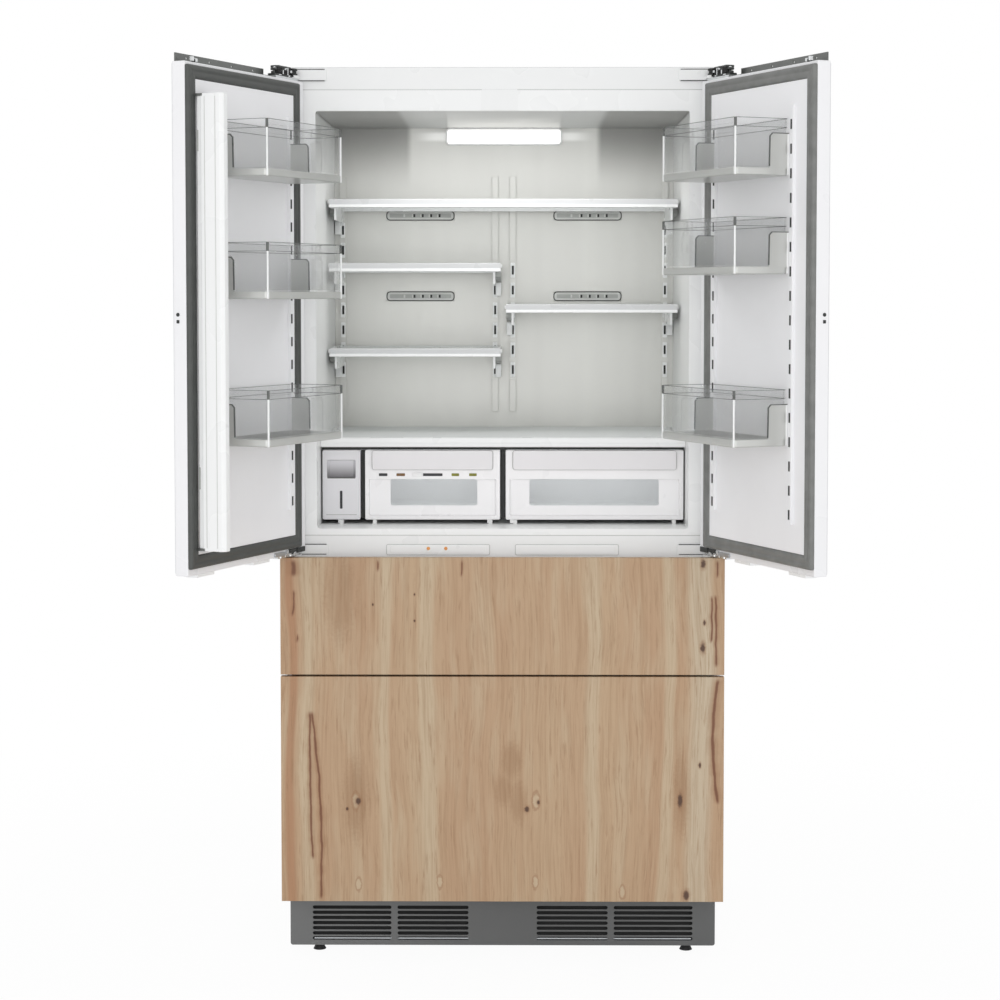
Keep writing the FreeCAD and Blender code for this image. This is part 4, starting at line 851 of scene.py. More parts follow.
def buildKnotGroup(spec):
    tree, given = openGroup("woodKnot", ("X", "Z", *knotInputs, "Ragged"), ("Mask", "Halo", "Ring"))
    aside = addMath(tree, "SUBTRACT", given["X"], given["Centre X"])
    aside = addMath(tree, "DIVIDE", aside, given["Half Width"])
    up = addMath(tree, "SUBTRACT", given["Z"], given["Centre Z"])
    up = addMath(tree, "DIVIDE", up, given["Half Height"])
    squared = addMath(tree, "MULTIPLY_ADD", aside, aside, addMath(tree, "MULTIPLY", up, up))
    away = addMath(tree, "MULTIPLY_ADD", given["Ragged"], spec["ragged"], addMath(tree, "SQRT", squared))
    addNode(tree, "NodeGroupOutput", {
        "Mask": addFade(tree, away, *spec["mask"], 1.0, 0.0),
        "Halo": addFade(tree, away, *spec["halo"], 1.0, 0.0),
        "Ring": addFade(tree, addAway(tree, away, 1.0), *spec["ring"], 1.0, 0.0),
    })
    return tree


def addLargest(tree, marks, output):
    largest = marks[0].outputs[output]
    for mark in marks[1:]:
        largest = addMath(tree, "MAXIMUM", largest, mark.outputs[output])
    return largest


def woodFinish(spec):
    tree, shader, place = newFinish("woodVeneer")
    axes = addAxes(tree, place)
    slow = addNoise(tree, stretched(tree, place, (5, 1, 2.4)), 1.0, 2)
    swayed = addMath(tree, "MULTIPLY_ADD", addMath(tree, "SUBTRACT", slow, 0.5), spec["sway"], axes["X"])
    along = addNode(tree, "ShaderNodeCombineXYZ", {"X": swayed, "Y": axes["Y"], "Z": axes["Z"]})
    grain = {}
    for kind, (scale, detail, rough) in spec["grain"].items():
        grain[kind] = addNoise(tree, stretched(tree, along.outputs["Vector"], scale), 1.0, detail, rough)
    tone = {key: paintColour(*colour) for key, colour in spec["tones"].items()}
    tint = addBlend(tree, addRange(tree, grain["bands"], 0.36, 0.64), tone["pink"], tone["mid"])
    tint = addBlend(tree, addRange(tree, grain["patches"], 0.5, 0.7, 0.0, 0.5), tint, tone["pale"])
    for centre, half, key in spec["strips"]:
        amount = addFade(tree, addAway(tree, swayed, centre), half * 0.4, half * 1.4, 0.75, 0.0)
        tint = addBlend(tree, amount, tint, tone[key])
    for kind, low, high, strength in spec["lines"]:
        tint = addBlend(tree, addRange(tree, grain[kind], low, high, 0.0, strength), tint, tone["fibre"])
    ragged = addMath(tree, "SUBTRACT", addNoise(tree, place, 160.0), 0.5)
    splitGroup = buildSplitGroup(splitLine)
    knotGroup = buildKnotGroup(knotOval)
    marks = {"splits": [], "knots": [], "stains": [], "eyes": []}
    for kind, found in marks.items():
        for row in spec[kind]:
            values = {"X": axes["X"], "Z": axes["Z"]}
            if kind == "splits":
                values.update(zip(splitInputs, row))
                values["Half"] *= spec["splitWiden"]
                found.append(addNode(tree, "ShaderNodeGroup", values, node_tree=splitGroup))
            else:
                values.update(zip(knotInputs, row))
                values["Ragged"] = ragged
                found.append(addNode(tree, "ShaderNodeGroup", values, node_tree=knotGroup))
    uneven = addRange(tree, grain["streaks"], 0.3, 0.7, 0.25, 0.75)
    splits = addLargest(tree, marks["splits"], "Mask")
    layers = [
        (addLargest(tree, marks["stains"], "Halo"), uneven, "fibre"),
        (addLargest(tree, marks["eyes"], "Mask"), 0.6, "pale"),
        (addLargest(tree, marks["eyes"], "Ring"), 0.45, "halo"),
        (addLargest(tree, marks["splits"] + marks["knots"], "Halo"), 0.55, "halo"),
        (addLargest(tree, marks["knots"], "Mask"), 0.9, "knot"),
        (splits, 0.9, "split"),
    ]
    for mask, strength, key in layers:
        tint = addBlend(tree, addMath(tree, "MULTIPLY", mask, strength), tint, tone[key])
    relief = addMath(tree, "MULTIPLY_ADD", splits, -1.5, grain["fibres"])
    fillSockets(tree, shader, {
        "Base Color": tint,
        "Roughness": addRange(tree, grain["streaks"], 0.3, 0.7, 0.42, 0.56),
        "Normal": addSkin(tree, relief, 0.15, 0.0006),
    })


woodFinish(veneer)
print("finishes ready:", len(finishes))

# the nodes that keep their own shape
nodeFinish = {
    "insulation": "insulationFoam",
    "freezer_liner": "freezerPlastic",
    "fridge_liner": "fridgeLiner",
    "duct_panel": "rearWallSatin",
    "lamp_lens": "lampGlow",
    "shelf_glass": "paneGlass",
    "hinge_brackets": "frameEnamel",
    "drawer_rails": "slideZinc",
    "base_pan": "panZinc",
    "feet": "footRubber",
    "compressor": "compressorPaint",
    "condenser": "finAluminium",
    "evaporator": "finAluminium",
    "evaporator_cover": "freezerPlastic",
    "fan_motors": "fanPlastic",
    "rear_cover": "panZinc",
    "left_door_liner": "doorLiner",
    "right_door_liner": "doorLiner",
    "left_panel_brackets": "railSteel",
    "right_panel_brackets": "railSteel",
    "left_hinge_arms": "brightSteel",
    "right_hinge_arms": "brightSteel",
    "mullion_arms": "railSteel",
    "upper_drawer_gasket": "sealGrey",
    "lower_drawer_gasket": "sealGrey",
    "upper_drawer_slides": "slideZinc",
    "lower_drawer_slides": "slideZinc",
    "condenser_fan": "fanPlastic",
    "evaporator_fan": "fanPlastic",
}
for node, finish in nodeFinish.items():
    mesh = nodes[node].data
    mesh.materials.clear()
    mesh.materials.append(finishes[finish])

# nodes whose edges are eased
easedNodes = {
    "outer_case": ("cabinetCase", "caseSteel", 1.2),
    "face_frame": ("frontFrame", "frameEnamel", 1.2),
    "top_shelf": ("topShelf", "shelfCoat", 0.7),
    "left_shelves": ("leftShelves", "shelfCoat", 0.7),
    "right_shelf": ("rightShelf", "shelfCoat", 0.7),
    "crisper_cover": ("crisperCover", "shelfCoat", 0.8),
    "left_door_panel": ("leftDoorSlab", "doorEnamel", 2.0),
    "right_door_panel": ("rightDoorSlab", "doorEnamel", 2.0),
    "upper_drawer_panel": ("upperWoodFront", "woodVeneer", 0.6),
    "lower_drawer_panel": ("lowerWoodFront", "woodVeneer", 0.6),
    "upper_drawer_door": ("upperInnerDoor", "doorEnamel", 1.5),
    "lower_drawer_door": ("lowerInnerDoor", "doorEnamel", 1.5),
}
for node, (name, finish, ease) in easedNodes.items():
    easedNode(node, name, finish, ease)
print("nodes dressed")

# face frame: bright band round the fridge opening with a seam, and a boss over the middle
frontTrim = {
    "band": ((-420, 420), (879, 1792)),
    "opening": ((-383, 383), (892, 1750)),
    "corner": 6,
    "bandY": (-0.4, -0.1, 0.3),
    "seam": 1.1,
    "seamY": (0.2, -0.25),
    "boss": ((-44, 32), (1750, 1793), (-0.45, 0.2)),
    "pips": (6, 12),
    "pip": (1760, 1.8, (-0.5, 0.2)),
}


def buildFrontTrim(spec):
    xs, zs = spec["band"]
    front, inside, back = spec["bandY"]
    outer = roundRect(xs, zs, spec["corner"])
    inner = roundRect(*spec["opening"], spec["corner"])
    steps = ((outer, back), (outer, front), (inner, inside), (inner, back))
    bm = drawn(addLoft, [atY(outline, y) for outline, y in steps], ring=True)
    newPiece("openingBand", bm, "cabinet", "brightEnamel")
    seam = spec["seam"]
    profile = lipProfile(0, seam, *spec["seamY"])
    bm = drawn(addFrame, inset(xs, -seam), inset(zs, -seam), spec["corner"] + 1, profile)
    newPiece("bandSeam", bm, "cabinet", "ventPlastic")
    bm = drawn(addRoundPlate, *spec["boss"], 3, 0.3)
    z, radius, ys = spec["pip"]
    for x in spec["pips"]:
        addLoft(bm, [atY(circle(x, z, radius, 12), y) for y in ys])
    newPiece("middleBoss", bm, "cabinet", "frameEnamel")


buildFrontTrim(frontTrim)

# two stepped covers on the rail under the fridge, one with small amber lamps
railCovers = {
    "spans": ((-239, -27), (27, 239)),
    "z": (838.2, 859),
    "y": (-3, 0.2),
    "step": 8,
    "stepZ": (842.2, 856),
    "stepY": (-4.4, -2.8),
    "gap": 0.9,
    "gapY": (0.2, -0.5),
    "marks": (-153, -117),
    "mark": (851.5, 3.6, (-5.2, -4.2)),
}


def buildRailCovers(spec):
    gap = spec["gap"]
    covers = bmesh.new()
    gaps = bmesh.new()
    for xs in spec["spans"]:
        addRoundPlate(covers, xs, spec["z"], spec["y"], 3, 0.9)
        addRoundPlate(covers, inset(xs, spec["step"]), spec["stepZ"], spec["stepY"], 2.5, 0.7)
        addFrame(gaps, inset(xs, -gap), inset(spec["z"], -gap), 3.6, lipProfile(0, gap, *spec["gapY"]))
    newPiece("railCovers", covers, "cabinet", "brightEnamel", takes=("rail_covers",))
    newPiece("railCoverGaps", gaps, "cabinet", "ventPlastic")
    z, radius, ys = spec["mark"]
    bm = bmesh.new()
    for x in spec["marks"]:
        addPlate(bm, lambda amount, x=x: circle(x, z, radius - amount, 18), ys, 0.5)
    newPiece("railCoverLamps", bm, "cabinet", "amberMark")


buildRailCovers(railCovers)

# plates over the four hinge brackets, with a dark strip above and below as painted shadow
hingePlates = {
    "x": ((-440.6, -359.4), (359.4, 440.6)),
    "z": ((1811.6, 1833), (840, 859)),
    "y": (-3.7, 0.3),
    "lip": 1.4,
    "lipIn": 4,
    "lipY": (-3.6, 0.3),
}


def buildHingePlates(spec):
    plates = bmesh.new()
    shadeLines = bmesh.new()
    for zs in spec["z"]:
        for xs in spec["x"]:
            addRoundPlate(plates, xs, zs, spec["y"], 2, 0.6)
            # dark strips along the top and bottom edges, painted shadow
            for z in (zs[0] - spec["lip"], zs[1]):
                addBox(shadeLines, inset(xs, spec["lipIn"]), spec["lipY"], (z, z + spec["lip"]), 0.3, 1)
    newPiece("hingePlates", plates, "cabinet", "frameEnamel")
    newPiece("hingePlateLips", shadeLines, "cabinet", "linkSteel")


buildHingePlates(hingePlates)
print("front frame dressed")

# toe grille: thin pressed sheet with four groups of slots, a black sheet behind them as painted shade, and
# the pale lip of the pan
toeGrille = {
    "x": (-443, 443),
    "y": (12, 13.5),
    "z": (17, 121.7),
    "back": 23,
    "corner": 5,
    "groups": {"Outer": (-396.5, -232), "Inner": (-219.5, -71)},
    "margin": 6.25,
    "slot": 7.3,
    "first": 31.3,
    "pitch": 10.9,
    "rows": 7,
    "filter": ((-402, 402), (19.5, 21), (24, 106)),
    "lip": ((-394, 394), (16.5, 19), (27.8, 31.2)),
}


def buildGrille(spec):
    (x0, x1), (y0, y1), (z0, z1) = spec["x"], spec["y"], spec["z"]
    edge = spec["margin"]
    low = spec["first"] - spec["pitch"] / 2
    high = low + spec["pitch"] * spec["rows"]
    left = spec["groups"]["Outer"][0] - edge
    right = spec["groups"]["Inner"][1] + edge
    corners = roundRect((x0, x1), (z0, z1), spec["corner"])
    foot = corners[:6] + [(x1, low), (x0, low)] + corners[-6:]
    bm = drawn(addLoft, [atY(foot, y0), atY(foot, y1)])
    addBox(bm, (x0, x1), (y0, y1), (high, z1))
    for xs in ((x0, left), (right, -right), (-left, x1)):
        addBox(bm, xs, (y0, y1), (low, high))
    # folded edges
    wall = y1 - y0
    for xs in ((x0, x0 + wall), (x1 - wall, x1)):
        addBox(bm, xs, (y1, spec["back"]), (z0 + spec["corner"], z1))
    addBox(bm, (x0, x1), (y1, spec["back"]), (z1 - wall, z1))
    newPiece("toeGrille", bm, "cabinet", "grillePaint", takes=("toe_grille",))
    half = spec["slot"] / 2
    for tag, xs in spec["groups"].items():
        cell = roundRect(inset(xs, -edge), (low, low + spec["pitch"]), 0)
        slot = roundRect(xs, around(spec["first"], half), half)
        bm = drawn(addLoft, [atY(cell, y0), atY(slot, y0), atY(slot, y1), atY(cell, y1)], ring=True)
        rowPiece("grilleSlots" + tag, bm, "cabinet", "grillePaint", spec["rows"],
                 (0, 0, spec["pitch"]), 2, (-xs[0] - xs[1], 0, 0))
    # black sheet behind the slots, painted shade
    boxPiece("grilleFilter", [spec["filter"]], "cabinet", "gapSeal", 0.4, 1)
    boxPiece("panLip", [spec["lip"]], "cabinet", "slideZinc", 0.8)


buildGrille(toeGrille)
print("toe grille built")

# rim round the lamp
lampRim = {
    "x": (-131, 131),
    "z": (1711, 1749.5),
    "radius": 9,
    "profile": [(0, 455), (0, 446), (1.6, 445.2), (4, 446), (4, 455)],
}
bm = drawn(addFrame, lampRim["x"], lampRim["z"], lampRim["radius"], lampRim["profile"])
newPiece("lampRim", bm, "cabinet", "shelfCoat")

# air vents: pale field, slot with dark and pale vanes by turns, dark rim
airVents = {
    "x": {"Left": (-265.5, -112.5), "Right": (112.5, 265.5)},
    "rows": (1542.6, 1360.6),
    "height": 20.8,
    "radius": 8,
    "fieldY": (453.4, 456.5),
    "slotIn": 7,
    "slotZ": (6, 15),
    "slotY": (452.9, 455),
    "rim": (-0.6, 1.5, 455.2, 452.7),
    # finish, start, width and count of the vanes
    "vanes": {"Dark": ("slotShadow", 60, 5, 4), "Pale": ("ventField", 38, 4, 5)},
    "vaneY": (452.2, 454),
    "vaneStep": 19,
}


def buildVents(spec):
    field = bmesh.new()
    slots = bmesh.new()
    rims = bmesh.new()
    for xs in spec["x"].values():
        for z in spec["rows"]:
            zs = (z, z + spec["height"])
            addRoundPlate(field, xs, zs, spec["fieldY"], spec["radius"], 0.5)
            addRoundPlate(slots, inset(xs, spec["slotIn"]), moved(spec["slotZ"], z), spec["slotY"], 2, 0.2)
            addFrame(rims, xs, zs, spec["radius"], lipProfile(*spec["rim"]))
    newPiece("ventPlates", field, "cabinet", "ventField", takes=("air_vents",))
    newPiece("ventSlots", slots, "cabinet", "ventPlastic")
    newPiece("ventRims", rims, "cabinet", "slotShadow")
    upper, lower = spec["rows"]
    for side, xs in spec["x"].items():
        for kind, (finish, start, width, count) in spec["vanes"].items():
            x = xs[0] + start
            bm = drawn(addBox, (x, x + width), spec["vaneY"], inset(moved(spec["slotZ"], lower), 1), 0.4, 1)
            rowPiece("vent" + kind + "Vanes" + side, bm, "cabinet", finish, count,
                     (spec["vaneStep"], 0, 0), 2, (0, 0, upper - lower))


buildVents(airVents)

# shelf ladders: upright strips with a row of slots, each in a pale rim
shelfLadders = {
    "x": {"Outer": 364, "Inner": 20},
    "count": {"Outer": 8, "Inner": 6},
    "width": 14,
    "y": (449, 455),
    "z": (1110, 1640),
    "first": 1205,
    "pitch": 45,
    "rim": (10, 34),
    "rimY": (0.2, -1.2),
    "slot": (4.8, 20),
    "fill": (4.6, 19.8),
    "fillY": (451.5, 454.9),
}


def buildLadders(spec):
    y0, y1 = spec["y"]
    pitch = spec["pitch"]
    z = spec["first"]
    back, front = moved(spec["rimY"], y0)
    ends = bmesh.new()
    for tag, x in spec["x"].items():
        count = spec["count"][tag]
        spans = ((spec["z"][0], z - pitch / 2), (z + (count - 0.5) * pitch, spec["z"][1]))
        for middle in (-x, x):
            for zs in spans:
                addBox(ends, around(middle, spec["width"] / 2), (y0, y1), zs, 0.4, 1)

        def upright(size, radius):
            return roundRect(around(-x, size[0] / 2), around(z, size[1] / 2), radius, 2)
        slot = upright(spec["slot"], 0.8)
        cell = upright((spec["width"], pitch), 0)
        rim = upright(spec["rim"], 1.4)
        fill = upright(spec["fill"], 0.7)
        cellLoops = [atY(cell, y0), atY(slot, y0), atY(slot, y1), atY(cell, y1)]
        rimLoops = [atY(rim, back), atY(rim, front), atY(slot, front), atY(slot, back)]
        fillLoops = [atY(fill, y) for y in spec["fillY"]]
        parts = {
            "Cells": (cellLoops, True, "rearWallSatin"),
            "Rims": (rimLoops, True, "brightEnamel"),
            "Slots": (fillLoops, False, "slotShadow"),
        }
        for kind, (loops, ring, finish) in parts.items():
            bm = drawn(addLoft, loops, ring)
            rowPiece("ladder" + kind + tag, bm, "cabinet", finish, count, (0, 0, pitch), 2,
                     (2 * x, 0, 0))
    newPiece("ladderStrips", ends, "cabinet", "rearWallSatin", takes=("shelf_ladders",))


buildLadders(shelfLadders)

# shelves: nosed front trim over a white lip, end lugs, and the brackets that hook into the ladders. The
# upper part of the trim is a darker grey and the brackets are grey, both painted shade
shelfRun = {
    # X, underside, places of the brackets
    "shelves": [
        ((-376, 376), 1562, (-374.5, 374.5)),
        ((-376, -6), 1424, (-374.5, -12.5)),
        ((-376, -6), 1240, (-374.5, -12.5)),
        ((6, 376), 1335, (12.5, 374.5)),
    ],
    "front": 230,
    # Y from the front and Z from the underside
    "nose": [(0.2, 7), (-3.2, 7), (-4.6, 16.4), (-4.0, 18), (-2.6, 18.8), (0.2, 19)],
    "lip": [(0.2, 0), (-4.4, 0.4), (-5.6, 1.4), (-5.4, 5.8), (-4.4, 7), (0.2, 7)],
    "lugX": (-1, 3.5),
    "lugY": (2, 22),
    "lugZ": (9, 16),
    "bracket": [(216, 0), (216, -20), (70, -13), (66, -10), (66, 0)],
    "half": 6.3,
    "hookY": (204, 217.5),
    "hookZ": (-52, -22),
}


def shifted(profile, y, z):
    return [(y + a, z + b) for a, b in profile]


def buildShelves(spec):
    bms = {kind: bmesh.new() for kind in ("Noses", "Lips", "Lugs", "Brackets", "Hooks")}
    y = spec["front"]
    for xs, z, places in spec["shelves"]:
        addBar(bms["Noses"], shifted(spec["nose"], y, z), xs)
        addBar(bms["Lips"], shifted(spec["lip"], y, z), xs)
        for end, way in zip(xs, (-1, 1)):
            lugX = sorted(end + way * x for x in spec["lugX"])
            addBox(bms["Lugs"], lugX, moved(spec["lugY"], y), moved(spec["lugZ"], z), 1.0)
        for x in places:
            sideways = around(x, spec["half"])
            addBar(bms["Brackets"], shifted(spec["bracket"], y, z), sideways)
            addBox(bms["Hooks"], sideways, moved(spec["hookY"], y), moved(spec["hookZ"], z), 1.4)
    # the darker grey on the noses and the grey on the brackets are painted shade
    looks = ("noseGrey", "brightEnamel", "linerPlastic", "ventPlastic", "brightEnamel")
    for (kind, bm), finish in zip(bms.items(), looks):
        newPiece("shelf" + kind, bm, "cabinet", finish)


buildShelves(shelfRun)

# cover over the crispers: nosed trim across the front and a frosted pane
coverTrim = {
    "x": (-382.5, 382.5),
    "y": 80,
    "z": 1055,
    "nose": [(0.2, 0), (-2, 0.6), (-3, 2), (-3, 7), (-2.2, 7.8),
             (-3.4, 8.8), (-3.8, 16), (-3, 18.6), (-1, 19.8), (0.2, 20)],
    "pane": ((-371, 371), (97, 447), (1074.4, 1075.6)),
    "paneCorner": 8,
    "paneEdge": 0.5,
}


def buildCoverTrim(spec):
    bm = drawn(addBar, shifted(spec["nose"], spec["y"], spec["z"]), spec["x"])
    newPiece("coverNose", bm, "cabinet", "brightEnamel")
    xs, ys, (low, high) = spec["pane"]
    edge = spec["paneEdge"]
    pane = roundRect(xs, ys, spec["paneCorner"])
    top = roundRect(inset(xs, edge), inset(ys, edge), spec["paneCorner"] - edge)
    bm = drawn(addLoft, [atZ(pane, low), atZ(pane, high - edge), atZ(top, high)])
    newPiece("coverPane", bm, "cabinet", "frostedPane")


buildCoverTrim(coverTrim)
print("inside of the fridge dressed")

# crispers: tub, front with a sunk panel, clear window, handle and its seam, peg under the front
crispers = {
    "left": {"x": (-290, -6), "window": (-237, -54), "peg": -28},
    "right": {"x": (6, 380), "window": (56, 329), "peg": 20},
    "y": (92, 432),
    "z": (901, 1048),
    "sunk": (909, 987),
    "sunkIn": 8,
    "windowZ": (930, 986),
    "handleIn": 15.5,
    "handleZ": (1007, 1047.5),
    "handleY": (84, 92.2),
    "seam": 1.2,
    "seamY": (92.1, 91.3),
    "wall": 3,
    "pegHalf": 5,
    "pegY": (94, 108),
    "pegZ": (893, 901.5),
}


def buildCrisper(side, spec):
    body = side + "_crisper"
    own = spec[side]
    (x0, x1), (y0, y1), (z0, z1) = own["x"], spec["y"], spec["z"]
    low, high = spec["sunk"]
    wide, tall = own["window"], spec["windowZ"]
    wall = spec["wall"]
    # fascia with the opening for the sunk panel
    outer = roundRect((x0, x1), (z0, z1), 3)
    soft = roundRect(inset((x0, x1), 0.8), inset((z0, z1), 0.8), 2.4)
    sunk = roundRect(inset((x0, x1), spec["sunkIn"]), (low, high), 3)
    deep = roundRect(inset((x0, x1), spec["sunkIn"] + 2), (low + 2, high - 1), 3)
    steps = ((outer, 9), (outer, 0.8), (soft, 0), (sunk, 0), (deep, 9))
    loops = [atY(outline, y0 + y) for outline, y in steps]
    bm = drawn(addLoft, loops, ring=True)
    newPiece(side + "CrisperFront", bm, body, "crisperPlastic", takes=(body,))
    # slanted frame round the window
    edge = roundRect(inset((x0, x1), spec["sunkIn"] + 1), (low + 1, high - 0.5), 3)
    brow = roundRect(inset(wide, -14), (tall[0] - 6, tall[1]), 4)
    lip = roundRect(wide, tall, 5)
    steps = ((edge, 8), (brow, 10.5), (lip, 12), (lip, 16), (edge, 16))
    loops = [atY(outline, y0 + y) for outline, y in steps]
    bm = drawn(addLoft, loops, ring=True)
    newPiece(side + "CrisperSlope", bm, body, "crisperPlastic")
    bm = drawn(addRoundPlate, inset(wide, -2), inset(tall, -2), (y0 + 13, y0 + 14.6), 5, 0.4)
    newPiece(side + "CrisperWindow", bm, body, "windowClear")
    # tub behind it, open where the window is
    tub = [
        ((x0 + 4, x1 - 4), (y0 + 12, y1), (z0, z0 + wall)),
        ((x0 + 2, x0 + 2 + wall), (y0 + 9, y1), (z0 + 0.4, z1)),
        ((x1 - 2 - wall, x1 - 2), (y0 + 9, y1), (z0 + 0.4, z1)),
        ((x0 + 3, x1 - 3), (y1 - wall, y1), (z0 + 0.4, z1 - 4)),
        ((x0 + 3, x1 - 3), (y0 + 8.5, y0 + 12), (high - 1, z1)),
    ]
    boxPiece(side + "CrisperTub", tub, body, "tubPlastic", 1.0)
    # handle panel and the seam round it
    handle = inset((x0, x1), spec["handleIn"])
    foot, top = spec["handleZ"]
    seam = spec["seam"]
    bm = drawn(addRoundPlate, handle, (foot, top), spec["handleY"], 5, 1.4)
    newPiece(side + "CrisperHandle", bm, body, "handlePlastic")
    bm = drawn(addFrame, inset(handle, -seam), (foot - seam, top), 6, lipProfile(0, seam, *spec["seamY"]))
    newPiece(side + "CrisperSeam", bm, body, "ventPlastic")
    peg = (around(own["peg"], spec["pegHalf"]), spec["pegY"], spec["pegZ"])
    boxPiece(side + "CrisperPeg", [peg], body, "crisperPlastic", 1.0)


for side in sides:
    buildCrisper(side, crispers)

# setting marks on the left crisper and the humidity knob, which runs in front of them
settingRow = {
    "z": (993, 999),
    "y": (91.6, 92.2),
    "marks": {
        "blackMark": [(-261, -243), (-168, -127)],
        "brownMark": [(-224, -206)],
        "oliveMark": [(-108, -92), (-71, -55)],
    },
    "knob": ((-189.5, -168.9), (992, 1000), (87.9, 91.5)),
    "ribs": (-183.2, -179.2, -175.2),
    "ribHalf": 0.6,
    "ribY": (87.3, 88.4),
    "ribZ": (993.6, 998.4),
}


def buildSettingRow(spec):
    for finish, spans in spec["marks"].items():
        bm = bmesh.new()
        for xs in spans:
            addRoundPlate(bm, xs, spec["z"], spec["y"], 1.2, 0.3, 3)
        newPiece("setting" + finish[0].upper() + finish[1:], bm, "left_crisper", finish)
    bm = drawn(addRoundPlate, *spec["knob"], 2, 0.7, 3)
    for x in spec["ribs"]:
        addBox(bm, around(x, spec["ribHalf"]), spec["ribY"], spec["ribZ"], 0.3, 1)
    body = "humidity_slider"
    newPiece("humidityKnob", bm, body, "knobPlastic", takes=(body,))


buildSettingRow(settingRow)

# water tank: shell with a dished finger grip, level slot, the line near its foot and a peg under it
tankFront = {
    "x": (-380, -300),
    "y": (92, 432),
    "z": (901, 1048),
    "soft": 1.2,
    "grip": ((-370, -310), (988, 1027.5)),
    "gripDepth": 9,
    "dishIn": (5, 2.5, 2),
    "dishY": (8.5, 1.2, 6),
    "sill": ((-369.4, -310.6), (91.8, 95), (987.8, 990.2)),
    "slot": ((-343.2, -337.8), (924, 962), (91.5, 92.4)),
    "line": ((-372, -308), (91.7, 92.3), (911, 912)),
    "peg": ((-347.5, -335.5), (94, 108), (893, 901.5)),
}


def buildTank(spec):
    xs, (y0, y1), zs = spec["x"], spec["y"], spec["z"]
    gripX, gripZ = spec["grip"]
    soft = spec["soft"]
    outer = roundRect(xs, zs, 4)
    face = roundRect(inset(xs, soft), inset(zs, soft), 3)
    grip = roundRect(gripX, gripZ, 3)
    steps = ((outer, y1), (outer, y0 + soft), (face, y0), (grip, y0), (grip, y0 + spec["gripDepth"]))
    bm = drawn(addLoft, [atY(outline, y) for outline, y in steps], ring=True)
    addRoundPlate(bm, inset(xs, 0.5), inset(zs, 0.5), (y1 - 3, y1 + 0.1), 3.5, 0.5)
    addBox(bm, *spec["peg"], 1.0)
    newPiece("waterTank", bm, "water_tank", "tankPlastic", takes=("water_tank",))
    aside, below, above = spec["dishIn"]
    edge = roundRect(inset(gripX, 0.2), inset(gripZ, 0.2), 2.8)
    floor = roundRect(inset(gripX, aside), (gripZ[0] + below, gripZ[1] - above), 2)
    bm = drawn(addLoft, [atY(outline, y0 + y) for outline, y in zip((edge, edge, floor), spec["dishY"])])
    newPiece("tankGripDish", bm, "water_tank", "gripShade")
    boxPiece("tankGripSill", [spec["sill"]], "water_tank", "binLine", 0.3, 1)
    bm = drawn(addRoundPlate, *spec["slot"], 1.5, 0.3, 3)
    newPiece("tankLevelSlot", bm, "water_tank", "blackMark")
    boxPiece("tankFootLine", [spec["line"]], "water_tank", "ventPlastic", 0.2, 1)


buildTank(tankFront)

# dark strips in the gaps beside and over the crispers, painted shade that stands in for the shadow in those
# gaps
crisperGuides = {
    "x": ((-382.6, -380.6), (-299, -291), (-5, 5), (380.6, 382.6)),
    "y": (104, 106),
    "z": (903, 1047),
    "over": ((-381, 381), (98, 100), (1048.8, 1054.8)),
}
boxes = [(xs, crisperGuides["y"], crisperGuides["z"]) for xs in crisperGuides["x"]]
boxPiece("crisperGuides", boxes + [crisperGuides["over"]], "cabinet", "slotShadow", 0.4, 1)
print("crispers and tank built")

# door seals: two soft lobes with a groove between them
doorSeal = {
    "x": (-419, -4),
    "z": (860, 1801),
    "radius": 4,
    "profile": [(0, -9), (0, -4.4), (1.0, -2.4), (3, -1.0), (6, -0.5), (9, -0.7), (11, -1.7), (13, -1.9),
                (15, -1.0), (18, -0.6), (22.5, -0.8), (25, -2.2), (26, -5), (26, -9)],
    # the left seal takes the darker copy of the rubber, painted shade
    "tone": {"left": "sealDark", "right": "sealGrey"},
}
for side in sides:
    bm = drawn(addFrame, doorSeal["x"], doorSeal["z"], doorSeal["radius"], doorSeal["profile"], 6)
    newPiece(side + "DoorSeal", bm, side + "_door", doorSeal["tone"][side], doorPlace[side],
             (side + "_gasket",))

# dark slots of the bin rails on both doors
binRails = {
    "slot": ((-375.1, -368.9), (-2.95, 3.12), (948.6, 967.4)),
    "apart": 296,
    "pitch": 46,
    "count": 17,
}
for side in sides:
    bm = drawn(addBox, *binRails["slot"], 0.1, 1)
    rowPiece(side + "BinSlots", bm, side + "_door", "slotShadow", binRails["count"],
             (0, 0, binRails["pitch"]), 2, (binRails["apart"], 0, 0), doorPlace[side])

# door bins: clear shell with a banded rim, silver base and end brackets
doorBins = {
    "x": (-371, -83),
    "y": (3.4, 120),
    "corner": 9,
    "height": 107,
    "base": 14,
    "rim": 17,
    "wall": 2.4,
    "bracket": 0.73,
    "line": 0.9,
    "low": {
        "left": {"Top": 1596, "Middle": 1366, "Bottom": 1088},
        "right": {"Top": 1598, "Middle": 1413, "Bottom": 1088},
    },
}


# an outline round a tub, which grows to every side but the one against the door
def tubLoop(spec, ys, grow, z):
    deep = (ys[0] - min(grow, 0), ys[1] + grow)
    return atZ(roundRect(inset(spec["x"], -grow), deep, spec["corner"] + grow), z)


